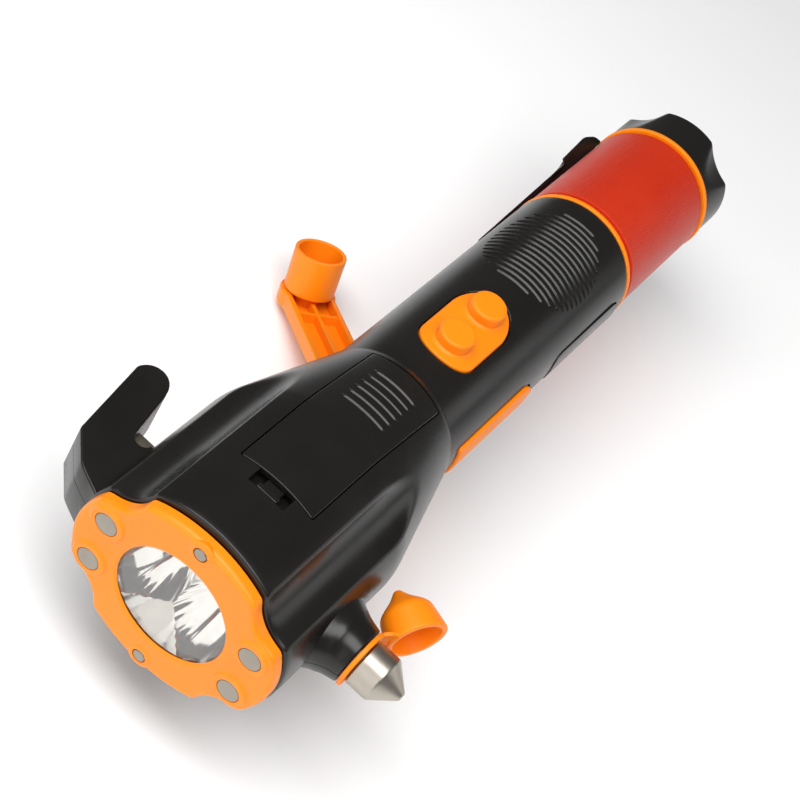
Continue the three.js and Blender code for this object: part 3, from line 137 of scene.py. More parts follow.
# The casing: two halves of black ABS, moulded in a tool with a fine spark texture and screwed together
# at the height of the lens axis. The round handle swells to an oval head with four thumb flutes.
# The lower half is cut flat for the folded crank, with a well for its knob.
def smoothed(mesh):
    """Shades a mesh smooth, apart from its edges that bend by more than 35 degrees."""
    mesh.polygons.foreach_set("use_smooth", np.ones(len(mesh.polygons), bool))
    mesh.set_sharp_from_angle(angle=np.radians(35))


def skin(name, rings, loop=False):
    """Closed mesh over rings of points in millimetres, rows by columns. Each ring closes on itself, and
    the rows close on the first one (loop) or the end rings are filled. Faces point outwards."""
    rows, columns = rings.shape[:2]
    grid = np.arange(rows * columns).reshape(rows, columns)
    here, on = (grid, np.roll(grid, -1, 0)) if loop else (grid[:-1], grid[1:])
    quads = np.stack([here, np.roll(here, -1, 1), np.roll(on, -1, 1), on], -1).reshape(-1, 4)
    place = rings.reshape(-1, 3) / 1000
    a, b, c, d = place[quads.T]
    middle = place.mean(0)
    volume = np.einsum("ij,ij->", a - middle, np.cross(b - middle, c - middle)
                       ) + np.einsum("ij,ij->", a - middle, np.cross(c - middle, d - middle))
    faces = quads.tolist()
    if not loop:
        for ring, turn in ((rings[0], -1), (rings[-1], 1)):
            spokes = ring / 1000 - middle
            volume += turn * np.einsum("ij,ij->", np.broadcast_to(spokes.mean(0), spokes.shape),
                                       np.cross(spokes, np.roll(spokes, -1, 0)))
        faces += [grid[0][::-1].tolist(), grid[-1].tolist()]
    if volume < 0:
        faces = [face[::-1] for face in faces]
    mesh = bpy.data.meshes.new(name)
    mesh.from_pydata(place.tolist(), [], faces)
    smoothed(mesh)
    piece = bpy.data.objects.new(name, mesh)
    bpy.context.scene.collection.objects.link(piece)
    return piece


def eased(corners, ease, steps=4, closed=True):
    """A line whose corners are rounded by parabolas that leave the sides `ease` before each corner and
    meet them as far after it. An open line keeps its two ends."""
    corners = np.asarray(corners, float)
    back, on = np.roll(corners, 1, 0) - corners, np.roll(corners, -1, 0) - corners
    back_length, on_length = np.linalg.norm(back, axis=1), np.linalg.norm(on, axis=1)
    reach = np.minimum(np.broadcast_to(ease, len(corners)), 0.49 * np.minimum(back_length, on_length))
    start = (corners + back * (reach / back_length)[:, None])[:, None]
    end = (corners + on * (reach / on_length)[:, None])[:, None]
    t = np.linspace(0, 1, steps + 1)[None, :, None]
    curve = (1 - t) ** 2 * start + 2 * t * (1 - t) * corners[:, None] + t ** 2 * end
    if closed:
        return curve.reshape(-1, corners.shape[1])
    inner = curve[1:-1].reshape(-1, corners.shape[1])
    return np.vstack([corners[:1], inner, corners[-1:]])


def round_turn(sides):
    """Angles set evenly round a circle."""
    return np.linspace(0, 2 * np.pi, sides, endpoint=False)


def spun(x, reach, turn, squeeze=1):
    """Points round the lens axis at x, by their reach from it and their angle, with the height squeezed."""
    return np.stack(np.broadcast_arrays(x, reach * np.cos(turn), reach * np.sin(turn) * squeeze), -1)


def turned(profile, axis="x", centre=(0, 0, 0), sides=96):
    """Rings of a lathe form: each [along, radius] of the profile is carried round the axis."""
    station, radius = np.asarray(profile, float).T[..., None]
    return np.roll(spun(station, radius, round_turn(sides)), "xyz".index(axis), -1) + np.asarray(centre, float)


def rod(axis, low, high, radius, centre=(0, 0, 0), sides=48):
    """A round tool from low to high along an axis."""
    return skin("rod_tool", turned([(low, radius), (high, radius)], axis, centre, sides))


def spindle(name, corners, ease, axis="x", centre=(0, 0, 0), sides=96, steps=4):
    """A piece from the lathe: half its section, an open line with eased corners, is carried round an axis."""
    return skin(name, turned(eased(corners, ease, steps, closed=False), axis, centre, sides))


def disc(name, low, high, radius, ease, *place):
    """A spindle of one radius from low to high, whose two rims are eased."""
    return spindle(name, [(low, 0.1), (low, radius), (high, radius), (high, 0.1)], [0.05, *ease, 0.05], *place)


def outward_of(outline):
    """Unit vectors that point out of a closed line drawn round counter-clockwise."""
    ahead = np.roll(outline, -1, 0) - np.roll(outline, 1, 0)
    return np.stack([ahead[:, 1], -ahead[:, 0]], 1) / np.linalg.norm(ahead, axis=1)[:, None]


def plate(outline, low, high, ease=0.0, axis="z", steps=3, margin=0.0):
    """Rings of a flat plate: its outline, drawn round counter-clockwise, is carried from low to high along
    the axis, and drawn in along a quarter circle at both faces. Plans are (y, z), (z, x) and (x, y). A
    margin adds a narrow flat band inside each rounded edge, which keeps a large face looking flat."""
    turn = np.linspace(0, np.pi / 2, steps + 1) if ease else np.array([np.pi / 2])
    rise, inset = ease * (1 - np.cos(turn)), ease * (1 - np.sin(turn))
    if margin:
        rise, inset = np.append(0.0, rise), np.append(ease + margin, inset)
    heights = np.concatenate([low + rise, high - rise[::-1]])
    insets = np.concatenate([inset, inset[::-1]])[:, None, None]
    plan = outline[None] - insets * outward_of(outline)[None]
    level = np.broadcast_to(heights[:, None, None], (*plan.shape[:2], 1))
    return np.roll(np.concatenate([plan, level], -1), "xyz".index(axis) + 1, -1)


def slab(*shape, **options):
    """A flat plate, for use as a tool."""
    return skin("slab_tool", plate(*shape, **options))


def carved(piece, *steps):
    """Cuts a piece with tools in order, or does other work with them where a step is (work, tool). It
    leaves one finished mesh, without the slivers that have next to no width."""
    steps = [step if isinstance(step, tuple) else ("DIFFERENCE", step) for step in steps]
    for work, tool in steps:
        change = piece.modifiers.new(tool.name, "BOOLEAN")
        change.operation, change.solver, change.object = work, "MANIFOLD", tool
    shape = bpy.data.meshes.new_from_object(piece.evaluated_get(bpy.context.evaluated_depsgraph_get()))
    piece.modifiers.clear()
    piece.data = shape
    for _, tool in steps:
        bpy.data.objects.remove(tool)
    cleaned = bmesh.new()
    cleaned.from_mesh(shape)
    bmesh.ops.dissolve_degenerate(cleaned, dist=0.000002, edges=cleaned.edges)
    cleaned.to_mesh(shape)
    cleaned.free()
    smoothed(shape)
    return piece


def block(x0, x1, y0, y1, z0, z1):
    """A plain tool that cuts a straight-sided pocket."""
    corners = np.array([[x0, y0], [x1, y0], [x1, y1], [x0, y1]], float)
    return slab(corners, z0, z1)


def fitted(piece, finish, body, slot, *stands_for):
    """Gives a finished piece its material and its body, and hides the CAD nodes that it stands for. The slot is not
    used.
    """
    piece.data.materials.clear()
    piece.data.materials.append(finish)
    if piece not in (upper, lower):
        piece.modifiers.new("true_flats", "WEIGHTED_NORMAL").keep_sharp = True
    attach(piece, body)
    if stands_for:
        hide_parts(*stands_for)
    return piece


tail_end, neck, head, front = 64.4, 159.0, 196.0, 243.2
handle_tail_radius, handle_neck_radius, shoulder_radius, head_radius = 20.3, 20.8, 21.6, 31.3
head_squeeze, flute_radius, flute_distance, flute_angle = 0.09, 13.2, 41.2, np.radians(42)
groove_first, groove_pitch, groove_count, groove_depth, groove_half = 72.1, 2.25, 17, 0.38, 0.52
groove_reach, groove_middle, groove_fade = np.radians(50), np.radians(95), np.radians(2.5)
front_ease, tail_ease, wave = 1.0, 0.5, 0.0008


def ridge(off):
    """Height of a ridge or depth of a groove: straight flanks that rise to 1, with a rounded tip."""
    return np.clip(1.08 - np.sqrt(off ** 2 + 0.0064), 0, 1)


def faded(share):
    """A smooth step from 0 to 1."""
    share = np.clip(share, 0, 1)
    return share * share * (3 - 2 * share)


def lathe_radius(x):
    """Radius of the casing before it is fluted: straight runs, with their bends worn round by taking the
    mean of the runs over a short length, longer at the head than at the neck."""
    blur = np.interp(x, [164, 186], [0.45, 3.0])[..., None] * np.linspace(-1, 1, 9)
    return np.interp(x[..., None] + blur, [tail_end, neck, neck + 1.2, head, front],
                     [handle_tail_radius, handle_neck_radius, shoulder_radius, head_radius, head_radius]).mean(-1)


def oval(x):
    """The share that the height is squeezed to, from 1 at the neck down to the head's own."""
    return 1 - head_squeeze * np.clip((x - neck) / (head - neck), 0, 1)


def hollowed(radius, hollow, distance, around, soft):
    """The smaller of a radius and the distance to a cylinder of radius hollow, whose axis lies a distance
    out and around from the ray. The edge where the two meet is worn round over a length soft."""
    inside = hollow ** 2 - (distance * np.sin(around)) ** 2
    wall = np.where(inside > 0, distance * np.cos(around) - np.sqrt(np.maximum(inside, 0)), 90.0)
    share = np.clip(0.5 + 0.5 * (wall - radius) / soft, 0, 1)
    return wall + (radius - wall) * share - soft * share * (1 - share)


def fluted(radius, turn, distance=flute_distance):
    """A radius hollowed by the four flutes that lie along the head."""
    around = np.arctan2(np.abs(np.sin(turn)), np.abs(np.cos(turn))) - flute_angle
    return hollowed(radius, flute_radius, distance, around, 0.9)


flute_edges = [28, 56, 124, 152, 208, 236, 304, 332]
fine_turn = np.radians(np.unique(np.concatenate([
    np.arange(0, 360, 2), np.arange(43, 148), *[edge + np.arange(-4, 4.1, 0.5) for edge in flute_edges]])))


def casing_rings(x, grow=0.0, sides=144, moulded=False):
    """Rings of the casing at stations x, grown outwards. Moulded ones have the thumb grooves and the
    rounded end edges, and lie closer together at the flutes' edges. A wave under a micrometre high keeps
    their straight rows whole when the casing is cut."""
    turn = (fine_turn if moulded else round_turn(sides))[None]
    station = x[:, None]
    radius = fluted(lathe_radius(station), turn) + grow
    if moulded:
        edge = np.where(station > neck, front_ease, tail_ease)
        near = np.clip(edge - np.minimum(station - tail_end, front - station), 0, edge)
        radius = radius - (edge - np.sqrt(edge ** 2 - near ** 2))
        count = np.clip(np.round((station - groove_first) / groove_pitch), 0, groove_count - 1)
        off = station - groove_first - count * groove_pitch
        reach = groove_reach * np.sqrt(1 - ((2 * count / (groove_count - 1) - 1) * 0.94) ** 2)
        fade = faded((reach - np.abs(turn - groove_middle)) / groove_fade)
        radius = radius - groove_depth * ridge(off / groove_half) * fade + wave * np.sin(37 * station + 23 * turn)
    return spun(station, radius, turn, oval(station))


near_groove = np.array([-0.95, -0.66, -0.56, -0.5, -0.34, -0.17, -0.07, 0,
                        0.07, 0.17, 0.34, 0.5, 0.56, 0.66, 0.95])
groove_stations = groove_first + groove_pitch * np.arange(groove_count)[:, None] + near_groove
casing_stations = np.concatenate([
    [64.4, 64.45, 64.55, 64.7, 64.9, 66, 68, 70], groove_stations.ravel(), np.arange(110, 157.5, 1.5),
    np.arange(157.6, 162, 0.3), np.arange(162.4, 189, 0.9), np.arange(189, 202, 0.7), np.arange(203, 242, 1.4),
    [242.5, 242.7, 242.9, 243.05, 243.15, 243.2]])
plain_stations = np.concatenate([np.arange(60, 157, 3.0), np.arange(157.6, 162, 0.4), np.arange(163, 203, 1.5),
                                 np.arange(203, 252, 3.0)])

hook_line = eased([(221.3, -27.1), (221.3, -36.15), (207.3, -38.9), (204.7, -39.8), (203.2, -40.9), (202.1, -42.6),
                   (201.8, -44.6), (202.3, -46.5), (203.3, -47.9), (204.7, -48.9), (206.1, -49.45), (231.5, -45.6),
                   (239.1, -38.4), (240.5, -35.6), (243.2, -29.4), (243.2, -27.1)],
                  [0.1, 0.3, 1.2, 1.2, 0.9, 0.9, 0.9, 0.9, 0.8, 0.8, 0.8, 0.8, 1.0, 0.8, 0.5, 0.1])
boss_line = eased([(30.4, 12.6), (31.5, 11.5), (32.8, 10.3), (35.2, 8.9), (39, 8.0), (39, 5)],
                  [0.1, 0.9, 1.1, 1.6, 0.4, 0.1], steps=6, closed=False)
hammer_x, boss_foot, boss_flat = 220.6, 34, 0.2
hub_x, crank_tilt = 151.9, np.radians(21.4)
well_x, well_radius = 76.8, 10.2


def sweep_tool(rise):
    """Room under the casing for the crank as it turns: flat under the hub, then a cone."""
    slope = 30 * np.tan(crank_tilt)
    return skin("crank_sweep", turned([(-70, 47), (rise - 18.3 - slope, 47), (rise - 18.3, 17), (rise - 18, 16.7)],
                                      "z", (hub_x, 0, 0), 144))


def cavity_tool():
    """The hollow of the casing, open to the window at the front, and raised over the crank's room."""
    run = np.concatenate([np.arange(66.4, 160, 4), np.arange(160, 185, 2), np.arange(185, 240, 4), [240.0]])[:, None]
    radius = np.interp(run, [66.4, 160.2, 185.0, 240], [18.3, 18.8, 25.5, 25.5])
    hollow = skin("cavity_tool", spun(run, radius, round_turn(72), oval(run)))
    return carved(hollow, block(60, hub_x, -70, 70, -70, -16), sweep_tool(2.0),
                  ("UNION", rod("x", 236, 250, 17.6, sides=96)))


def under_skin(outline, depth):
    """A pocket of that outline, cut down to a given depth under the casing's skin."""
    return carved(slab(outline, 5, 60), skin("under_skin", casing_rings(plain_stations, -depth)))


def curved_plate(x, half, corners, ease, over, under):
    """Rings of a plate that lies on a curved skin: rows along X, and columns over the top and back under
    it. The two ends have corners rounded in plan, and the top drops along a quarter circle at its edges."""
    x = x[:, None]
    ends = np.stack([x - x[0], x[-1] - x])
    corner = np.array(corners)[:, None, None]
    bite = (corner - np.sqrt(corner ** 2 - np.clip(corner - ends, 0, corner) ** 2)).max(0)
    across = (half - bite) * np.sin(np.linspace(-np.pi / 2, np.pi / 2, 61))[None]
    edge = np.clip(ease - np.minimum(ends.min(0), half - bite - np.abs(across)), 0, ease)
    drop = ease - np.sqrt(ease ** 2 - edge ** 2)
    return np.concatenate([over(x, across, drop), under(x, across)[:, ::-1]], 1)


def cover_stations(x0, x1):
    """Stations along a cover, close together at its ends."""
    near = np.array([0, 0.03, 0.1, 0.2, 0.35, 0.55, 0.8, 1.1, 1.5, 2.0, 2.7, 3.5, 4.4, 5.4, 6.5])
    return np.concatenate([x0 + near, np.linspace(x0 + 8, x1 - 8, 14), x1 - near[::-1]])


def over_side(low, high):
    """The outer and the inner skin of a cover on the +Y side, at radii of high and low."""
    return (lambda x, across, drop: spun(x, high - drop, across / high),
            lambda x, across: spun(x, low, across / high))


def rectangle(x0, x1, y0, y1, corner=1.0):
    """A rectangle in plan with rounded corners."""
    return eased([(x0, y0), (x1, y0), (x1, y1), (x0, y1)], corner)


def pad_line(grow):
    """Plan of the button pad: half an ellipse at either end, of two lengths, joined by straight sides."""
    turn = round_turn(160)
    ahead, middle = np.where(np.cos(turn) > 0, 7.25, 10.0), np.where(np.cos(turn) > 0, 141.5, 127.8)
    return np.stack([middle + (ahead + grow) * np.cos(turn), (8.8 + grow) * np.sin(turn)], 1)


def pad_recess():
    """The pad's seat: its plan a little larger, carried down from over the skin along a rounded lip."""
    rings = []
    for grow, depth in [(1.1, -0.8), (0.85, 0.0), (0.62, 0.06), (0.48, 0.2), (0.42, 0.45), (0.42, 1.7)]:
        plan = pad_line(grow)
        rings.append(np.column_stack([plan, np.sqrt(lathe_radius(plan[:, 0]) ** 2 - plan[:, 1] ** 2) - depth]))
    return skin("pad_recess", np.array(rings))


def cover_pocket(x0, x1, corners):
    """The seat of a side cover, cut a little larger all round."""
    grown = [corner + 0.3 for corner in corners]
    return skin("cover_pocket", curved_plate(cover_stations(x0 - 0.3, x1 + 0.3), np.radians(16.9) * 30, grown, 0.0,
                                             *over_side(19.6, 30)))


def casing_half(name, low, high):
    """One half of the casing: the skin with its hook and boss, split, then hollowed and cut. The boss
    flares to its foot, which falls away with the side of the head."""
    half = skin(name, casing_rings(casing_stations, moulded=True))
    hook = slab(hook_line, -9.4, 6.5, 0.5, margin=0.25)
    boss_rings = turned(boss_line, "y", (hammer_x, 0, 0), 120)
    boss_rings[..., 2] *= 1 - boss_flat * np.clip((boss_foot - boss_rings[..., 1]) / 3.5, 0, 1)
    fall = head_radius * (1 - np.sqrt(1 - (boss_rings[..., 2] / 28.5) ** 2))
    boss_rings[..., 1] -= np.clip((37 - boss_rings[..., 1]) / 6, 0, 1) * fall
    boss = skin("boss", boss_rings)
    return carved(half, ("UNION", hook), ("UNION", boss), ("INTERSECT", block(40, 260, -70, 70, low, high)),
                  cavity_tool())


# The blade's slot and its root, the hammer's bore, the clip's root, the port, and two covers' seats.
shared_cuts = [
    lambda: block(215.8, 234.1, -38.4, -30.2, -0.5, 0.5),
    lambda: rod("z", -20, 20, 2.6, (221.2, -33.6, 0)),
    lambda: rod("y", 21.4, 41, 4.3, (hammer_x, 0, 0)),
    lambda: block(65.9, 78.9, -40, -19.3, -10.3, -4.7),
    lambda: block(130.7, 142.3, 12.2, 40, -3.1, 3.1),
    lambda: cover_pocket(117, 154, (4.6, 1.2)),
    lambda: cover_pocket(68.4, 104.4, (4.2, 4.2)),
]
upper = casing_half("casing_upper_half", 0, 70)
carved(upper, *[tool() for tool in shared_cuts],
       under_skin(rectangle(161.0, 220.8, -11.6, 11.6, 0.9), 2.1),
       slab(rectangle(162.3, 218.3, -10.1, 10.1), 5, 60),
       slab(rectangle(219.2, 225.8, -5.5, 5.5, 0.5), 24.4, 60),
       *[block(161, 164.3, side * 5 - 1.8, side * 5 + 1.8, 15.5, 40) for side in (1, -1)],
       pad_recess(), slab(pad_line(-1.3), 5, 60))

screw_places = [(100.0, 12.0), (100.0, -12.0), (203.2, 17.0), (203.2, -17.0)]
lower = casing_half("casing_lower_half", -70, -0.2)
inside_skin = skin("inside_skin", casing_rings(plain_stations, -0.4))
posts = rod("z", -40, -3.2, 11.8, (well_x, 0, 0), 72)
carved(posts, *[("UNION", rod("z", -40, -0.2, 4, (*place, 0), 36)) for place in screw_places],
       ("INTERSECT", inside_skin))
carved(lower, ("UNION", posts), *[tool() for tool in shared_cuts], sweep_tool(0.0),
       block(66.4, hub_x, -70, 70, -70, -18),
       block(hub_x, 235.2, -70, 70, -70, -26.98),
       rod("z", -70, -4.8, well_radius, (well_x, 0, 0), 96),
       rod("z", -70, 70, 3.3, (hub_x, 0, 0)),
       *[rod("z", -70, -10, 2.9, (*place, 0)) for place in screw_places],
       *[rod("z", -70, 70, 1.5, (*place, 0), 24) for place in screw_places])


def surfaced(name, dark, light, gloss, cloud_mm, grit_mm, grit_um, stretch=(1, 1, 1), **sockets):
    """A material whose tone and gloss drift in clouds cloud_mm across, under a relief of grit that is
    grit_mm across and grit_um high. Stretch draws the grit out into lines. Sockets get plain values."""
    made = bpy.data.materials.new(name)
    made.use_nodes = True
    tree = made.node_tree
    spot = add(tree, "TexCoord").outputs["Object"]
    drawn = add(tree, "Mapping", {"Scale": stretch}, Vector=spot).outputs["Vector"]
    cloud = add(tree, "TexNoise", {"Scale": 1000 / cloud_mm, "Detail": 3.0}, Vector=spot).outputs["Fac"]
    grit = add(tree, "TexNoise", {"Scale": 1000 / grit_mm, "Detail": 2.0}, Vector=drawn).outputs["Fac"]
    tone = add(tree, "Mix", {"data_type": "RGBA", 6: linear(dark), 7: linear(light)}, Factor=cloud)
    shade = add(tree, "MapRange",
                {"From Min": 0.3, "From Max": 0.7, "To Min": gloss[0], "To Max": gloss[1]}, Value=cloud)
    relief = add(tree, "Bump", {"Strength": 1.0, "Distance": grit_um * 1e-6}, Height=grit)
    shader = tree.nodes["Principled BSDF"]
    for socket, value in sockets.items():
        shader.inputs[socket.replace("_", " ")].default_value = value
    tree.links.new(tone.outputs[2], shader.inputs["Base Color"])
    tree.links.new(shade.outputs["Result"], shader.inputs["Roughness"])
    tree.links.new(relief.outputs["Normal"], shader.inputs["Normal"])
    return made


def coat(finish, *names):
    """Gives nodes of the frame that stay in sight, or show at a joint's limit, their material."""
    for name in names:
        for place in nodes[name].material_slots:
            place.material = finish


# Black ABS from a spark-eroded tool: near black, with a fine grit that spreads the gloss into a grey sheen.
black_abs = surfaced("black_abs_spark_textured", "#12100E", "#1A1816", (0.24, 0.31), 18, 0.45, 8,
                     Specular_IOR_Level=0.38)
fitted(upper, black_abs, "casing", "black_plastic", "upper_housing")
fitted(lower, black_abs, "casing", "black_plastic", "lower_housing")


# The battery door: a curved plate of the same ABS let into the top of the head. Six ribs give the thumb
# a grip, two tabs hook under the casing, and a tongue snaps into the recess at the front.
door_rear, door_front, door_half, door_depth = 161.3, 220.5, 11.3, 1.8
rib_first, rib_pitch, rib_count, rib_height, rib_half, rib_reach = 168.8, 3.22, 6, 0.38, 0.46, 7.1
to_edge = np.array([0, 0.02, 0.06, 0.12, 0.2, 0.3, 0.45, 0.7, 1.0, 1.4])
door_stations = np.concatenate([door_rear + to_edge, np.arange(163.4, 167.9, 0.5), np.arange(168.0, 186.0, 0.1),
                                np.arange(186.5, 218.8, 0.8), door_front - to_edge[::-1]])


def door_top(x, across, drop):
    """The casing's skin, with low ribs whose section is a rounded ridge and whose ends fade out."""
    count = np.clip(np.round((x - rib_first) / rib_pitch), 0, rib_count - 1)
    off = (x - rib_first - count * rib_pitch) / rib_half
    rib = rib_height * ridge(off) * faded((rib_reach - np.abs(across)) / 0.8)
    z = oval(x) * np.sqrt(lathe_radius(x) ** 2 - across ** 2) - drop + rib
    return np.stack(np.broadcast_arrays(x, across, z), -1)


def door_under(x, across):
    """The same skin, one wall lower."""
    z = oval(x) * np.sqrt((lathe_radius(x) - door_depth) ** 2 - across ** 2)
    return np.stack(np.broadcast_arrays(x, across, z), -1)


door = skin("battery_door_panel", curved_plate(door_stations, door_half, (0.7, 0.7), 0.3, door_top, door_under))
tongue = slab(rectangle(217.2, 224.8, -2.6, 2.6, 0.6), 24.9, 26.4, 0.3)
tabs = []
for side in (5.0, -5.0):
    tabs += [slab(rectangle(159.4, 162.7, side - 1.5, side + 1.5, 0.3), 15.8, 17.0, 0.2),
             block(161.6, 162.7, side - 1.4, side + 1.4, 16.4, 18.6)]
catch = slab(rectangle(223.5, 225.3, -3.2, 3.2, 0.4), 25.0, 27.9, 0.35)
carved(door, ("UNION", tongue), ("UNION", catch), *[("UNION", tab) for tab in tabs])
fitted(door, black_abs, "door", "black_plastic", "battery_door")


# The cells under the door: three small sleeved cells in an ABS tray, between stamped brass contacts. A
# cell is a steel can in a printed sleeve, shown plain here, with its nub at the front.
cell_sleeve = surfaced("cell_sleeve_lacquered_film", "#6E5420", "#7E6228", (0.22, 0.30), 22, 1.5, 4, IOR=1.5,
                       Coat_Weight=0.4)
# Nickel-plated steel at the ends: neutral, bright, a little worn.
cell_steel = surfaced("cell_can_nickel_plated_steel", "#A9A6A0", "#BDBAB3", (0.26, 0.36), 6, 0.3, 3, Metallic=1.0)
sleeve_mouth, sleeve_front = 0.0041, 0.2113
for number, (y, z) in enumerate([(5.6, 11.2), (-5.6, 11.2), (0.0, 2.0)], 1):
    cell = spindle(f"cell_{number}", [(168.0, 0.1), (168.0, 5.25), (211.7, 5.25), (211.7, 1.9), (212.5, 1.9),
                                      (212.5, 0.1)], [0.05, 0.5, 0.6, 0.2, 0.3, 0.05], "x", (0, y, z), 64)
    fitted(cell, cell_sleeve, "casing", "cell_jacket", f"battery_{number}")
    cell.data.materials.append(cell_steel)
    middle = np.empty(len(cell.data.polygons) * 3)
    cell.data.polygons.foreach_get("center", middle)
    bare = np.hypot(middle[1::3] - y / 1000, middle[2::3] - z / 1000) < sleeve_mouth
    bare |= middle[0::3] > sleeve_front
    cell.data.polygons.foreach_set("material_index", bare.astype(int))
# Stamped brass: warm, bright, with rolling marks along the strip.
contact_brass = surfaced("contact_brass_rolled", "#B08A45", "#C79F57", (0.24, 0.38), 5, 0.25, 3, (1, 1, 0.1),
                         Metallic=1.0)
coat(contact_brass, "battery_contacts_front", "battery_contacts_rear", "generator_pinion")
coat(black_abs, "battery_tray", "torch_switch", "lantern_switch")


# The push buttons: a pad of orange silicone rubber let into the handle, and two round buttons that stand
# up through it. The front one is for the torch, and the rear one for the lantern.
# Silicone is soft to the eye: matt, with a faint sheen where it turns away, and a warmer tone inside.
orange_rubber = surfaced("orange_silicone_rubber", "#F98003", "#FF8B08", (0.42, 0.52), 16, 0.35, 8, IOR=1.41,
                         Specular_IOR_Level=0.4)
torch_key_x, lantern_key_x, key_radius, key_seat = 140.6, 125.2, 5.15, 17.12
pad_ease, pad_thickness, pad_proud, fillet_height = 0.6, 1.6, 0.12, 0.6


def evenly(line, count):
    """A closed line with its points set evenly along it."""
    ends = np.vstack([line, line[:1]])
    run = np.concatenate([[0], np.cumsum(np.linalg.norm(np.diff(ends, axis=0), axis=1))])
    at = np.linspace(0, run[-1], count, endpoint=False)
    return np.stack([np.interp(at, run, ends[:, k]) for k in (0, 1)], 1)


def pad_rings():
    """Rings from the middle of the pad out over its rounded edge and back under it. The top is level with
    the handle's round skin and rises in a small fillet at each button."""
    rim = evenly(pad_line(0.0), 240)
    outward = outward_of(rim)
    bend = np.linspace(0, np.pi / 2, 6)
    middle = np.array([(torch_key_x + lantern_key_x) / 2, 0.0])
    share = np.linspace(0.02, 1, 64)[:, None, None]
    inner = middle + share * (rim - pad_ease * outward - middle)
    edge = rim - pad_ease * (1 - np.sin(bend))[1:, None, None] * outward
    plan = np.concatenate([inner, edge, rim[None], inner[::-4]])
    fall = np.concatenate([np.zeros(len(inner)), pad_ease * (1 - np.cos(bend))[1:],
                           np.full(1 + len(inner[::-4]), pad_thickness)])[:, None]
    away = np.minimum(*[np.hypot(plan[..., 0] - x, plan[..., 1]) for x in (torch_key_x, lantern_key_x)])
    fillet = fillet_height * np.clip((6.4 - away) / 1.2, 0, 1) ** 2 * (fall < 1)
    radius = lathe_radius(plan[..., 0]) + pad_proud
    height = np.sqrt(radius ** 2 - plan[..., 1] ** 2) - fall + fillet
    return np.concatenate([plan, height[..., None]], -1)


pad = carved(skin("button_pad_skin", pad_rings()),
             *[rod("z", 0, 40, 5.18, (x, 0, 0), 72) for x in (torch_key_x, lantern_key_x)])
fitted(pad, orange_rubber, "casing", "orange_rubber", "button_pad")
for lamp, x, top in [("torch", torch_key_x, 24.4), ("lantern", lantern_key_x, 24.3)]:
    key = spindle(f"{lamp}_key_cap", [(14.1, 0.1), (14.1, 1.8), (16.12, 1.8), (16.12, 6.0), (key_seat, 6.0),
                                      (key_seat, key_radius), (top, key_radius - 0.08), (top, 0.1)],
                  [0.05, 0.3, 0.2, 0.3, 0.3, 0.2, 1.0, 0.05], "z", (x, 0, 0), 72, 6)
    fitted(key, orange_rubber, f"{lamp}_key", "orange_rubber", f"{lamp}_button")


# The charging port's flap, of the same rubber, closes the side of the handle, and a clipped-in panel of
# ABS lies behind it. The flap lifts by the notch at its rear end and bends at its front end.
flap = skin("port_flap", curved_plate(cover_stations(117, 154), np.radians(16) * 21.6, (4.6, 1.2), 0.7,
                                      *over_side(19.9, 21.6)))
carved(flap, rod("y", 20.7, 40, 2.4, (117, 0, 0), 48),
       ("UNION", slab(rectangle(-1.4, 1.4, 132.4, 140.6, 0.6), 16.6, 20.2, 0.3, "y")))
fitted(flap, orange_rubber, "flap", "orange_rubber", "port_cover")
panel = skin("side_panel_skin", curved_plate(cover_stations(68.4, 104.4), np.radians(16) * 20.8, (4.2, 4.2), 0.3,
                                             *over_side(19.9, 20.8)))
fitted(panel, black_abs, "casing", "black_plastic", "side_panel")


# The bezel: a ring of orange ABS screwed to the front of the head. It follows the head's flutes, has a
# soft outer edge, and rises in a collar round each of its four magnets and two studs.
# ABS straight from a polished tool: a clear even orange with a broad gloss.
orange_abs = surfaced("orange_abs_satin", "#FB8205", "#FF8E0E", (0.34, 0.44), 24, 0.4, 5, Specular_IOR_Level=0.32,
                      Subsurface_Weight=0.2, Subsurface_Radius=(1.0, 0.35, 0.08), Subsurface_Scale=0.004)
bezel_turn = round_turn(240)
bezel_reach = fluted(1 / np.hypot(np.cos(bezel_turn) / 30.8, np.sin(bezel_turn) / 29.35), bezel_turn, 40.2)[None]
outer_line = eased([(243.5, -3), (243.5, 0), (247.1, 0), (247.1, -4)], [0.1, 0.3, 1.8, 0.1],
                   steps=10, closed=False)[1:-1]
inner_line = eased([(247.1, 19), (247.1, 17), (246.5, 16.1), (246.5, 17.7), (243.5, 17.7), (243.5, 20)],
                   [0.1, 0.25, 0.06, 0.06, 0.2, 0.1], closed=False)[1:-1]
bezel = skin("bezel_ring", np.concatenate([
    spun(outer_line[:, :1], bezel_reach + outer_line[:, 1:], bezel_turn, 1 - head_squeeze),
    spun(inner_line[:, :1], inner_line[:, 1:], bezel_turn)]), loop=True)
magnet_places = [(22.8, 7.7), (22.8, -7.7), (-22.8, -7.7), (-22.8, 7.7)]
stud_places = [(0.0, 23.68), (0.0, -23.68)]
collar_line = eased([(244.2, 4.2), (246.8, 6.0), (247.12, 5.6), (247.25, 5.1), (247.82, 4.7), (247.82, 3.4),
                     (247.5, 2.0)], [0.1, 0.1, 0.3, 0.3, 0.5, 0.35, 0.1], closed=False)
stud_line = eased([(244.2, 2.4), (246.9, 3.8), (247.12, 3.5), (247.38, 3.0), (247.42, 1.6)],
                  [0.1, 0.1, 0.3, 0.25, 0.1], closed=False)
carved(bezel, *[("UNION", skin("collar", turned(collar_line, "x", (0, *place), 72))) for place in magnet_places],
       *[("UNION", skin("collar", turned(stud_line, "x", (0, *place), 48))) for place in stud_places],
       *[rod("x", 244.3, 260, 3.3, (0, *place), 72) for place in magnet_places],
       *[rod("x", 240, 260, 2.0, (0, *place), 48) for place in stud_places])
fitted(bezel, orange_abs, "casing", "orange_plastic", "bezel")
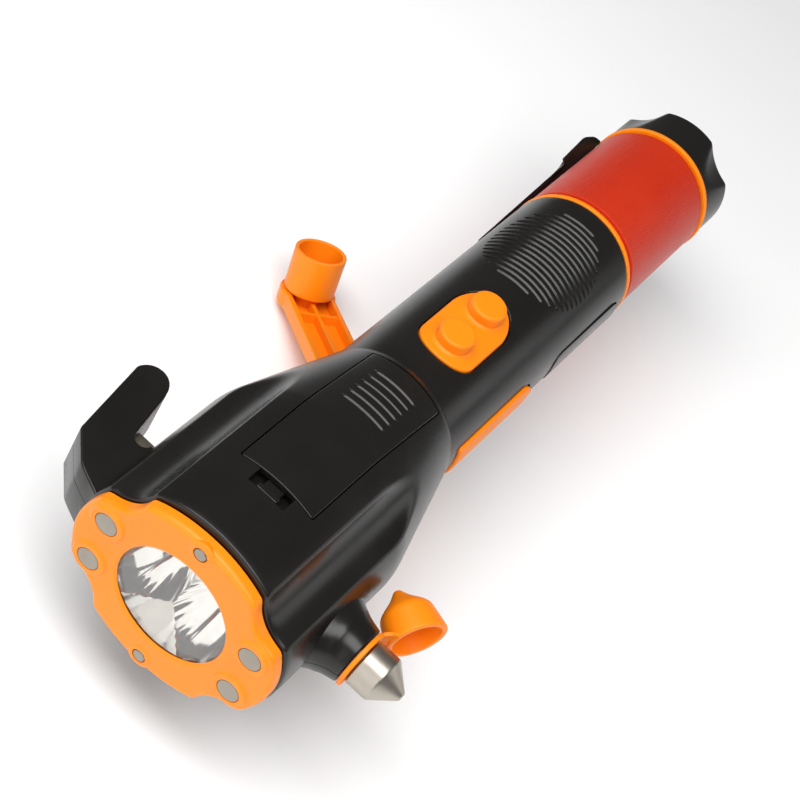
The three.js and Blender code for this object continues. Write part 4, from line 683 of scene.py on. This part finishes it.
# Sintered magnets, nickel plated: a warm grey metal, faintly cloudy, with rounded edges.
magnet_nickel = surfaced("magnet_nickel_plated", "#88827A", "#9F998E", (0.28, 0.42), 5, 0.35, 6, Metallic=1.0)
for number, place in enumerate(magnet_places, 1):
    magnet = disc(f"magnet_disc_{number}", 244.6, 247.85, 3.2, (0.3, 0.4), "x", (0, *place), 64)
    fitted(magnet, magnet_nickel, "casing", "magnet_plate", f"magnet_{number}")
for name, place in zip(("top", "bottom"), stud_places):
    pin = disc(f"stud_pin_{name}", 239.0, 247.5, 1.8, (0.2, 0.5), "x", (0, *place), 48)
    fitted(pin, magnet_nickel, "casing", "magnet_plate", f"bezel_stud_{name}")


# The window, a disc of clear polycarbonate, and behind it the reflector: ABS moulded as three dishes and
# metallised in a vacuum. The dishes meet in raised seams, and each has a hole for its LED.
# Clear moulded sheet: it shows what lies behind it and takes a thin white gloss.
clear_sheet = surfaced("window_clear_polycarbonate", "#F7F8F8", "#FDFDFD", (0.02, 0.05), 30, 2.0, 1, IOR=1.5,
                       Transmission_Weight=1.0)
window = disc("window_disc", 244.8, 246.2, 17.4, (0.2, 0.2), "x", (0, 0, 0), 144)
fitted(window, clear_sheet, "casing", "clear_window", "lens_window")

reflector_rim, rim_radius, dish_depth, dish_wall, led_hole, dish_rows = 244.5, 17.2, 13.0, 1.2, 2.7, 44
seam_turns = np.radians([83, 224, 295, 443])


def seam_line(turn, jag=0.28, count=40):
    """A seam from the middle of the reflector to its rim, with the small zigzag of the tool's edge."""
    run = np.linspace(0, 1, count, endpoint=False)
    side = jag * np.sin(np.pi * run) ** 0.5 * (np.abs((run * 11) % 2 - 1) * 2 - 1)
    return np.stack([rim_radius * run * np.cos(turn) - side * np.sin(turn),
                     rim_radius * run * np.sin(turn) + side * np.cos(turn)], 1)


def dish_rings(start, stop):
    """A dish between two seams. Every point of its edge is joined to the LED's place by a parabola that
    rises to the rim. The seams' zigzag is laid on at the edge, and shallow ripples run round the dish."""
    half = (stop - start) / 2
    reach = rim_radius / (1 + min(1.0, np.sin(half)))
    centre = reach * np.array([np.cos(start + half), np.sin(start + half)])
    arc = np.linspace(start, stop, 90)[:, None]
    rim = rim_radius * np.hstack([np.cos(arc), np.sin(arc)])
    edge = np.concatenate([seam_line(start, 0.0), rim, seam_line(stop, 0.0)[:0:-1]])
    shift = np.concatenate([seam_line(start), rim, seam_line(stop)[:0:-1]]) - edge
    ray = edge - centre
    length = np.linalg.norm(ray, axis=1)
    share = np.concatenate([np.linspace(0, 1, dish_rows), np.linspace(1, 0, dish_rows)])[:, None]
    radius = led_hole + (length - led_hole) * share
    plan = centre + radius[..., None] * (ray / length[:, None]) + (share ** 3)[..., None] * shift
    turn = np.arctan2(ray[:, 1], ray[:, 0])
    ripple = 0.03 * np.sin(2 * turn + 9 * share) * np.sin(np.pi * share) ** 2
    x = reflector_rim - dish_depth * (1 - (radius / length) ** 2) + ripple
    x[dish_rows:] -= dish_wall
    return np.concatenate([x[..., None], plan], -1), centre


# Vacuum-metallised plastic: a bright neutral mirror, slightly wavy, that shows the room in bands.
mirror_coat = surfaced("mirror_vacuum_metallised", "#DEDCD8", "#F2F1EE", (0.04, 0.10), 7, 3.0, 30, Metallic=1.0)
dish_shells, led_places = [], []
for start, stop in zip(seam_turns[:-1], seam_turns[1:]):
    rings, centre = dish_rings(start, stop)
    dish_shells.append(skin("dish", rings, loop=True))
    led_places.append(centre)
reflector = dish_shells[0]
whole = bmesh.new()
for shell in dish_shells:
    whole.from_mesh(shell.data)
whole.to_mesh(reflector.data)
whole.free()
for shell in dish_shells[1:]:
    bpy.data.objects.remove(shell)
reflector.name = "reflector_three_dishes"
smoothed(reflector.data)
fitted(reflector, mirror_coat, "casing", "mirror_coat", "reflector")
# The LEDs: a phosphor under a dome of clear silicone, pale yellow when it is off.
led_dome = surfaced("led_phosphor_in_silicone", "#E9DFA8", "#F4EDC4", (0.12, 0.20), 2, 0.5, 2, IOR=1.41,
                    Subsurface_Weight=0.3, Subsurface_Scale=0.0008)
for number, place in enumerate(led_places, 1):
    dome = spindle(f"led_dome_{number}", [(230.3, 0.1), (230.3, 2.4), (233.2, 2.2), (233.2, 0.1)],
                   [0.05, 0.1, 1.6, 0.05], "x", (0, *place), 48, 8)
    fitted(dome, led_dome, "casing", "led_white", f"led_{number}")
# FR4: glass cloth in epoxy under green lacquer, whose weave shows as a faint grid.
board_lacquer = surfaced("fr4_board_green_lacquer", "#0E4A26", "#17592F", (0.25, 0.35), 8, 0.6, 6, IOR=1.55)
coat(board_lacquer, "led_board", "lantern_board", "switch_board")


# The glass hammer: hardened steel turned from the bar to a satin gloss, with a cone for a point. It is
# pressed into the boss on the side of the head.
hammer_steel = surfaced("hammer_turned_hardened_steel", "#A39C92", "#B8B1A6", (0.34, 0.46), 9, 0.25, 3,
                        (1, 0.06, 1), Metallic=1.0)
striker = spindle("hammer_striker", [(21.4, 0.1), (21.4, 6.4), (23.8, 6.4), (23.8, 4.0), (40.8, 4.0), (40.8, 6.4),
                                     (47.2, 6.4), (53.4, 1.1), (53.4, 0.1)],
                  [0.05, 0.3, 0.3, 0.3, 0.3, 0.5, 0.5, 1.1, 0.05], "y", (hammer_x, 0, 0), steps=6)
fitted(striker, hammer_steel, "casing", "hammer_steel", "hammer")


# The hammer's cap, moulded in one from orange silicone rubber: a loop round the shank, a short strap,
# and a cup whose closed end is a cone like the striker's. It turns round the shank on its loop.
cap_lean, cup_offset, cup_mouth_y, cup_rim = np.radians(30), 15.6, 46.6, 7.2
loop_low, loop_high, loop_hole, loop_reach = 39.3, 40.5, 4.35, 8.1


def leaned(points):
    """Lays a form that runs up +Y from its mouth along the cup's axis, which leans back over the boss."""
    x, y, z = points[..., 0], -points[..., 1], -points[..., 2]
    return np.stack([hammer_x - cup_offset + x * np.cos(cap_lean) + y * np.sin(cap_lean),
                     cup_mouth_y - x * np.sin(cap_lean) + y * np.cos(cap_lean), z], -1)


cup_line = eased([(14.0, 0.1), (13.9, 0.9), (11.6, 2.7), (8.9, 5.9), (7.6, 6.9), (0.5, 8.2), (0, 7.9), (0, 6.6),
                  (7.2, 5.5), (12.4, 0.1)],
                 [0.05, 0.6, 1.6, 1.1, 1.4, 0.4, 0.3, 0.3, 1.2, 0.05], steps=6, closed=False)
cup = skin("hammer_cap_skin", leaned(turned(cup_line, "y", sides=96)))
rim_x, rim_y = hammer_x - cup_offset + cup_rim * np.cos(cap_lean), cup_mouth_y - cup_rim * np.sin(cap_lean)
strap_path = eased([(214.6, 39.9), (212.4, 39.9), (rim_x - 0.1, rim_y - 1.6), (rim_x - 0.6, rim_y - 0.2)],
                   [0.1, 1.0, 1.0, 0.1], steps=8, closed=False)
strap_run = np.linspace(0, 1, len(strap_path))
strap_ahead = np.gradient(strap_path, axis=0)
strap_side = np.stack([-strap_ahead[:, 1], strap_ahead[:, 0]], 1) / np.linalg.norm(strap_ahead, axis=1)[:, None]
section = eased([(-1, -1), (1, -1), (1, 1), (-1, 1)], 0.35)
strap_half = 2.8 + 1.6 * strap_run ** 2
strap_rings = np.concatenate([
    strap_path[:, None] + 0.6 * section[None, :, :1] * strap_side[:, None],
    (strap_half[:, None] * section[None, :, 1])[..., None]], -1)
loop = eased([(loop_low, loop_hole), (loop_low, loop_reach), (loop_high, loop_reach), (loop_high, loop_hole)], 0.35)
carved(cup, ("UNION", skin("strap", strap_rings)),
       ("UNION", skin("loop", turned(loop, "y", (hammer_x, 0, 0), 96), loop=True)))
fitted(cup, orange_rubber, "striker_cap", "orange_rubber", "hammer_cap")


# Steel inside and in the hook: the belt cutter's blade, screws, pins, shafts, plate and port. Stamped or
# turned, then zinc plated: a cool grey with a soft gloss.
zinc_steel = surfaced("zinc_plated_steel", "#8F8D88", "#A6A49E", (0.32, 0.44), 6, 0.3, 5, Metallic=1.0)
coat(zinc_steel, "idler_axle", "generator", "generator_shaft", "gear_plate", "charging_socket",
     "crank_shaft", *[f"housing_screw_{k}" for k in (1, 2, 3, 4)])
blade_edge = eased([(-0.02, 216.3), (-0.35, 217.8), (-0.35, 233.8), (0.35, 233.8), (0.35, 217.8), (0.3, 216.3)], 0.02)
blade = skin("cutter_blade_ground", plate(blade_edge, -38.2, -30.4, 0.0, "y"))
# Ground tool steel: darker and warmer than the plating, with the grinder's lines across its bevel.
blade_steel = surfaced("blade_ground_tool_steel", "#A3988A", "#B5AA9B", (0.28, 0.40), 4, 0.2, 4, (1, 0.1, 1),
                       Metallic=1.0)
fitted(blade, blade_steel, "casing", "inner_steel", "cutter_blade")
# Nylon gears: milky, waxy, slightly see-through at their teeth.
gear_nylon = surfaced("gear_natural_nylon", "#DDD8C8", "#E8E4D6", (0.38, 0.48), 10, 0.5, 6, IOR=1.53,
                      Subsurface_Weight=0.2, Subsurface_Scale=0.001)
coat(gear_nylon, "drive_gear", "idler_gear")


# The crank, moulded from the orange ABS: a round hub under the neck, an arm shaped as a ribbed tray that
# folds on a steel pin, and a hollow knob that turns on a rivet. Its open side faces the casing.
hub_z, pin_reach, arm_length = -23.9, 16.0, 59.1
arm_half, arm_end, arm_under, arm_top, arm_wall, arm_floor = 7.8, 8.6, -2.6, 2.2, 1.6, 1.4


hub_turn = np.radians(226.2)
hub_pose = Matrix.Translation((hub_x / 1000, 0, hub_z / 1000)) @ Matrix.Rotation(hub_turn, 4, "Z")
arm_pose = hub_pose @ Matrix.Translation((pin_reach / 1000, 0, 0)) @ Matrix.Rotation(crank_tilt, 4, "Y")


def set_in(piece, pose):
    """Carries a finished mesh from the crank's own frame to its place."""
    piece.data.transform(pose)
    return piece


def arm_line(inset):
    """Plan of the arm: straight sides and a round end, drawn in by inset."""
    half, end = arm_half - inset, arm_end - inset
    spread = np.pi - np.arcsin(half / end)
    turn = np.linspace(-spread, spread, 65)
    return np.vstack([[(0, half), (0, -half)], np.stack([arm_length + end * np.cos(turn), end * np.sin(turn)], 1)])


hub = disc("crank_hub_disc", -2, 5.6, 14, (0.9, 0.3), "z", (0, 0, 0), 120)
knuckle = disc("knuckle", -5.9, 5.9, 2.6, (0.3, 0.3), "y", (pin_reach, 0, 0), 48)
carved(hub, block(12.4, 40, -20, 20, -20, 20),
       ("UNION", slab(rectangle(0, 16, -5.9, 5.9, 0.2), -2, 2.3, 0.3)), ("UNION", knuckle),
       rod("y", -20, 20, 1.35, (pin_reach, 0, 0)), rod("z", -0.5, 20, 3.2))
fitted(set_in(hub, hub_pose), orange_abs, "crank_rotor", "orange_plastic", "crank_hub")

arm = skin("crank_arm_tray", plate(arm_line(0), arm_under, arm_top, 0.45, steps=4))
ear = disc("ear", -7.7, 7.7, 2.6, (0.4, 0.4), "y", (0, 0, 0), 48)
rivet_boss = disc("rivet_boss", -1.5, arm_top, 3.8, (0.05, 0.3), "z", (arm_length, 0, 0), 64)
carved(arm, ("UNION", ear), slab(arm_line(arm_wall), arm_under + arm_floor, 20),
       block(-4, 3.2, -6.2, 6.2, -20, 20),
       ("UNION", block(9, arm_length, -0.6, 0.6, -1.5, 1.6)),
       ("UNION", block(9, 10.2, -7, 7, -1.5, 1.6)),
       ("UNION", block(arm_length - 13.2, arm_length - 12, -7, 7, -1.5, 1.6)),
       ("UNION", rivet_boss),
       rod("y", -20, 20, 1.35), rod("z", -20, 20, 1.7, (arm_length, 0, 0)))
fitted(set_in(arm, arm_pose), orange_abs, "crank_lever", "orange_plastic", "crank_arm")

knob_line = eased([(2.5, 1.8), (2.5, 7.7), (15.9, 7.9), (15.9, 6.7), (4.5, 6.5), (4.5, 1.8)],
                  [0.15, 0.9, 0.35, 0.35, 0.6, 0.15], steps=5)
knob = skin("crank_knob_cup", turned(knob_line, "z", (arm_length, 0, 0), 96), loop=True)
fitted(set_in(knob, arm_pose), orange_abs, "knob", "orange_plastic", "crank_knob")
rivet = spindle("knob_rivet_turned", [(-2.5, 0.1), (-2.5, 1.5), (4.8, 1.5), (4.8, 3.0), (6.2, 2.2), (6.4, 0.1)],
                [0.05, 0.2, 0.1, 0.3, 1.0, 0.05], "z", (arm_length, 0, 0), 48, 6)
fitted(set_in(rivet, arm_pose), zinc_steel, "crank_lever", "inner_steel", "knob_rivet")
hinge_pin = disc("crank_pin_turned", -7.6, 7.6, 1.2, (0.25, 0.25), "y", (pin_reach, 0, 0), 40)
fitted(set_in(hinge_pin, hub_pose), zinc_steel, "crank_rotor", "inner_steel", "crank_hinge_pin")


# The belt clip, of the black ABS: its root is let into the casing, and its blade runs along the lantern
# to a thicker pad with a rounded tip.
clip_line = eased([(78.6, -19.6), (66.2, -19.6), (66.2, -20.7), (14.9, -20.7), (14.9, -22.6), (18.2, -24.4),
                   (32.7, -23.4), (33.4, -21.9), (77.4, -21.9), (78.6, -20.7)][::-1],
                  [0.3, 0.6, 0.5, 0.4, 2.0, 1.4, 0.3, 0.3, 0.2, 0.2][::-1], steps=6)
clip_rings = plate(clip_line, -10, 2, 0.5)
narrow = np.interp(clip_rings[..., 0], [32.7, 49.7], [1.0, 5 / 12])
clip_rings[..., 2] = -10 + (clip_rings[..., 2] + 10) * narrow
clip = skin("belt_clip_blade", clip_rings)
fitted(clip, black_abs, "casing", "black_plastic", "belt_clip")


# The lantern: a tube of red polycarbonate between two rings of the orange ABS, lit by LEDs behind the
# front ring. A groove marks it off at either end, and a mould line runs along it.
lens_line = np.array([(16.1, 17.8), (16.1, 19.2), (17.4, 19.2), (17.55, 19.85), (17.75, 20.0), (60.65, 20.0),
                      (60.85, 19.85), (61.0, 19.2), (62.3, 19.2), (62.3, 17.8)])
lens_points = turned(np.concatenate([a + (b - a) * np.linspace(0, 1, 13)[:-1, None]
                                     for a, b in zip(lens_line, np.roll(lens_line, -1, 0))]), "x", sides=240)
mould_turn, mould_width, mould_depth = np.radians(76), np.radians(0.8), 0.12
spin = np.arctan2(lens_points[..., 2], lens_points[..., 1])
outside = np.hypot(lens_points[..., 1], lens_points[..., 2]) > 19.9
mould_line = mould_depth * outside * np.exp(-((spin - mould_turn) / mould_width) ** 2)
lens_points[..., 1:] *= (1 - mould_line / 20)[..., None]
red_lens = surfaced("lantern_red_polycarbonate", "#BE2507", "#CD330E", (0.30, 0.38), 26, 0.5, 3,
                    Specular_IOR_Level=0.4, Subsurface_Weight=0.15, Subsurface_Scale=0.002)
# Inside the tube fine ribs run along it and round it, 0.8 mm apart, and show through as a weave. They are
# drawn in the surface, about 0.04 mm deep.
tree = red_lens.node_tree
spot = add(tree, "SeparateXYZ", Vector=add(tree, "TexCoord").outputs["Object"])
bearing = add(tree, "Math", {"operation": "ARCTAN2"}, _0=spot.outputs["Z"], _1=spot.outputs["Y"])
rib_pitch_m, lens_radius_m = 0.0008, 0.020
waves = []
for source, length in ((spot.outputs["X"], rib_pitch_m), (bearing.outputs[0], rib_pitch_m / lens_radius_m)):
    pace = add(tree, "Math", {"operation": "MULTIPLY", 1: 2 * np.pi / length}, _0=source)
    waves.append(add(tree, "Math", {"operation": "SINE"}, _0=pace.outputs[0]).outputs[0])
weave = add(tree, "Math", {"operation": "ADD"}, _0=waves[0], _1=waves[1])
shader = tree.nodes["Principled BSDF"]
below = shader.inputs["Normal"].links[0].from_socket
woven = add(tree, "Bump", {"Strength": 1.0, "Distance": 0.00004}, Height=weave.outputs[0], Normal=below)
tree.links.new(woven.outputs["Normal"], shader.inputs["Normal"])
lens = skin("lantern_tube", lens_points, loop=True)
fitted(lens, red_lens, "casing", "red_lens", "lantern_lens")
for name, start in (("rear", 14.3), ("front", 62.6)):
    band = eased([(start, 17.8), (start, 20.4), (start + 1.5, 20.4), (start + 1.5, 17.8)], [0.1, 0.45, 0.45, 0.1])
    fitted(skin(f"ring_{name}", turned(band, "x", sides=160), loop=True), orange_abs, "casing", "orange_plastic",
           f"lantern_ring_{name}")


# The tail cap, black ABS, unscrews from the lantern by four thumb scoops. The scoops are deepest at the
# end and run out just before the rear ring.
scoop_radius, scoop_depth, scoop_run, scoop_first = 20.0, 2.6, 13.0, np.radians(52.5)
cap_radius, end_ease = 20.0, 1.4
cap_turn = round_turn(288)
off_scoop = (cap_turn - scoop_first + np.pi / 4) % (np.pi / 2) - np.pi / 4


def scooped(x):
    """The cap's radius at x, hollowed by four cylinders that lean out along the cap."""
    far = cap_radius - scoop_depth + scoop_radius + x * scoop_depth / scoop_run
    return hollowed(cap_radius, scoop_radius, far, off_scoop, 0.7)


bend = np.linspace(0, np.pi / 2, 9)
outer_rows = [(0.0, 0.02, 0.0), (0.0, 0.5, 0.0),
              *[(end_ease * (1 - np.cos(t)), 1.0, end_ease * (1 - np.sin(t))) for t in bend],
              *[(x, 1.0, 0.0) for x in np.linspace(2.0, 13.8, 24)], (13.93, 1.0, 0.05), (14.0, 1.0, 0.2)]
inner_rows = [(14.0, 17.5), (17.8, 17.5), (18.0, 17.3), (18.0, 15.5), (2.4, 15.5), (2.4, 0.3)]
tail_cap = skin("tail_cap_scooped", np.array(
    [spun(x, (scooped(x) - inset) * share, cap_turn) for x, share, inset in outer_rows] +
    [spun(x, reach, cap_turn) for x, reach in inner_rows]))
fitted(tail_cap, black_abs, "casing", "black_plastic", "tail_cap")
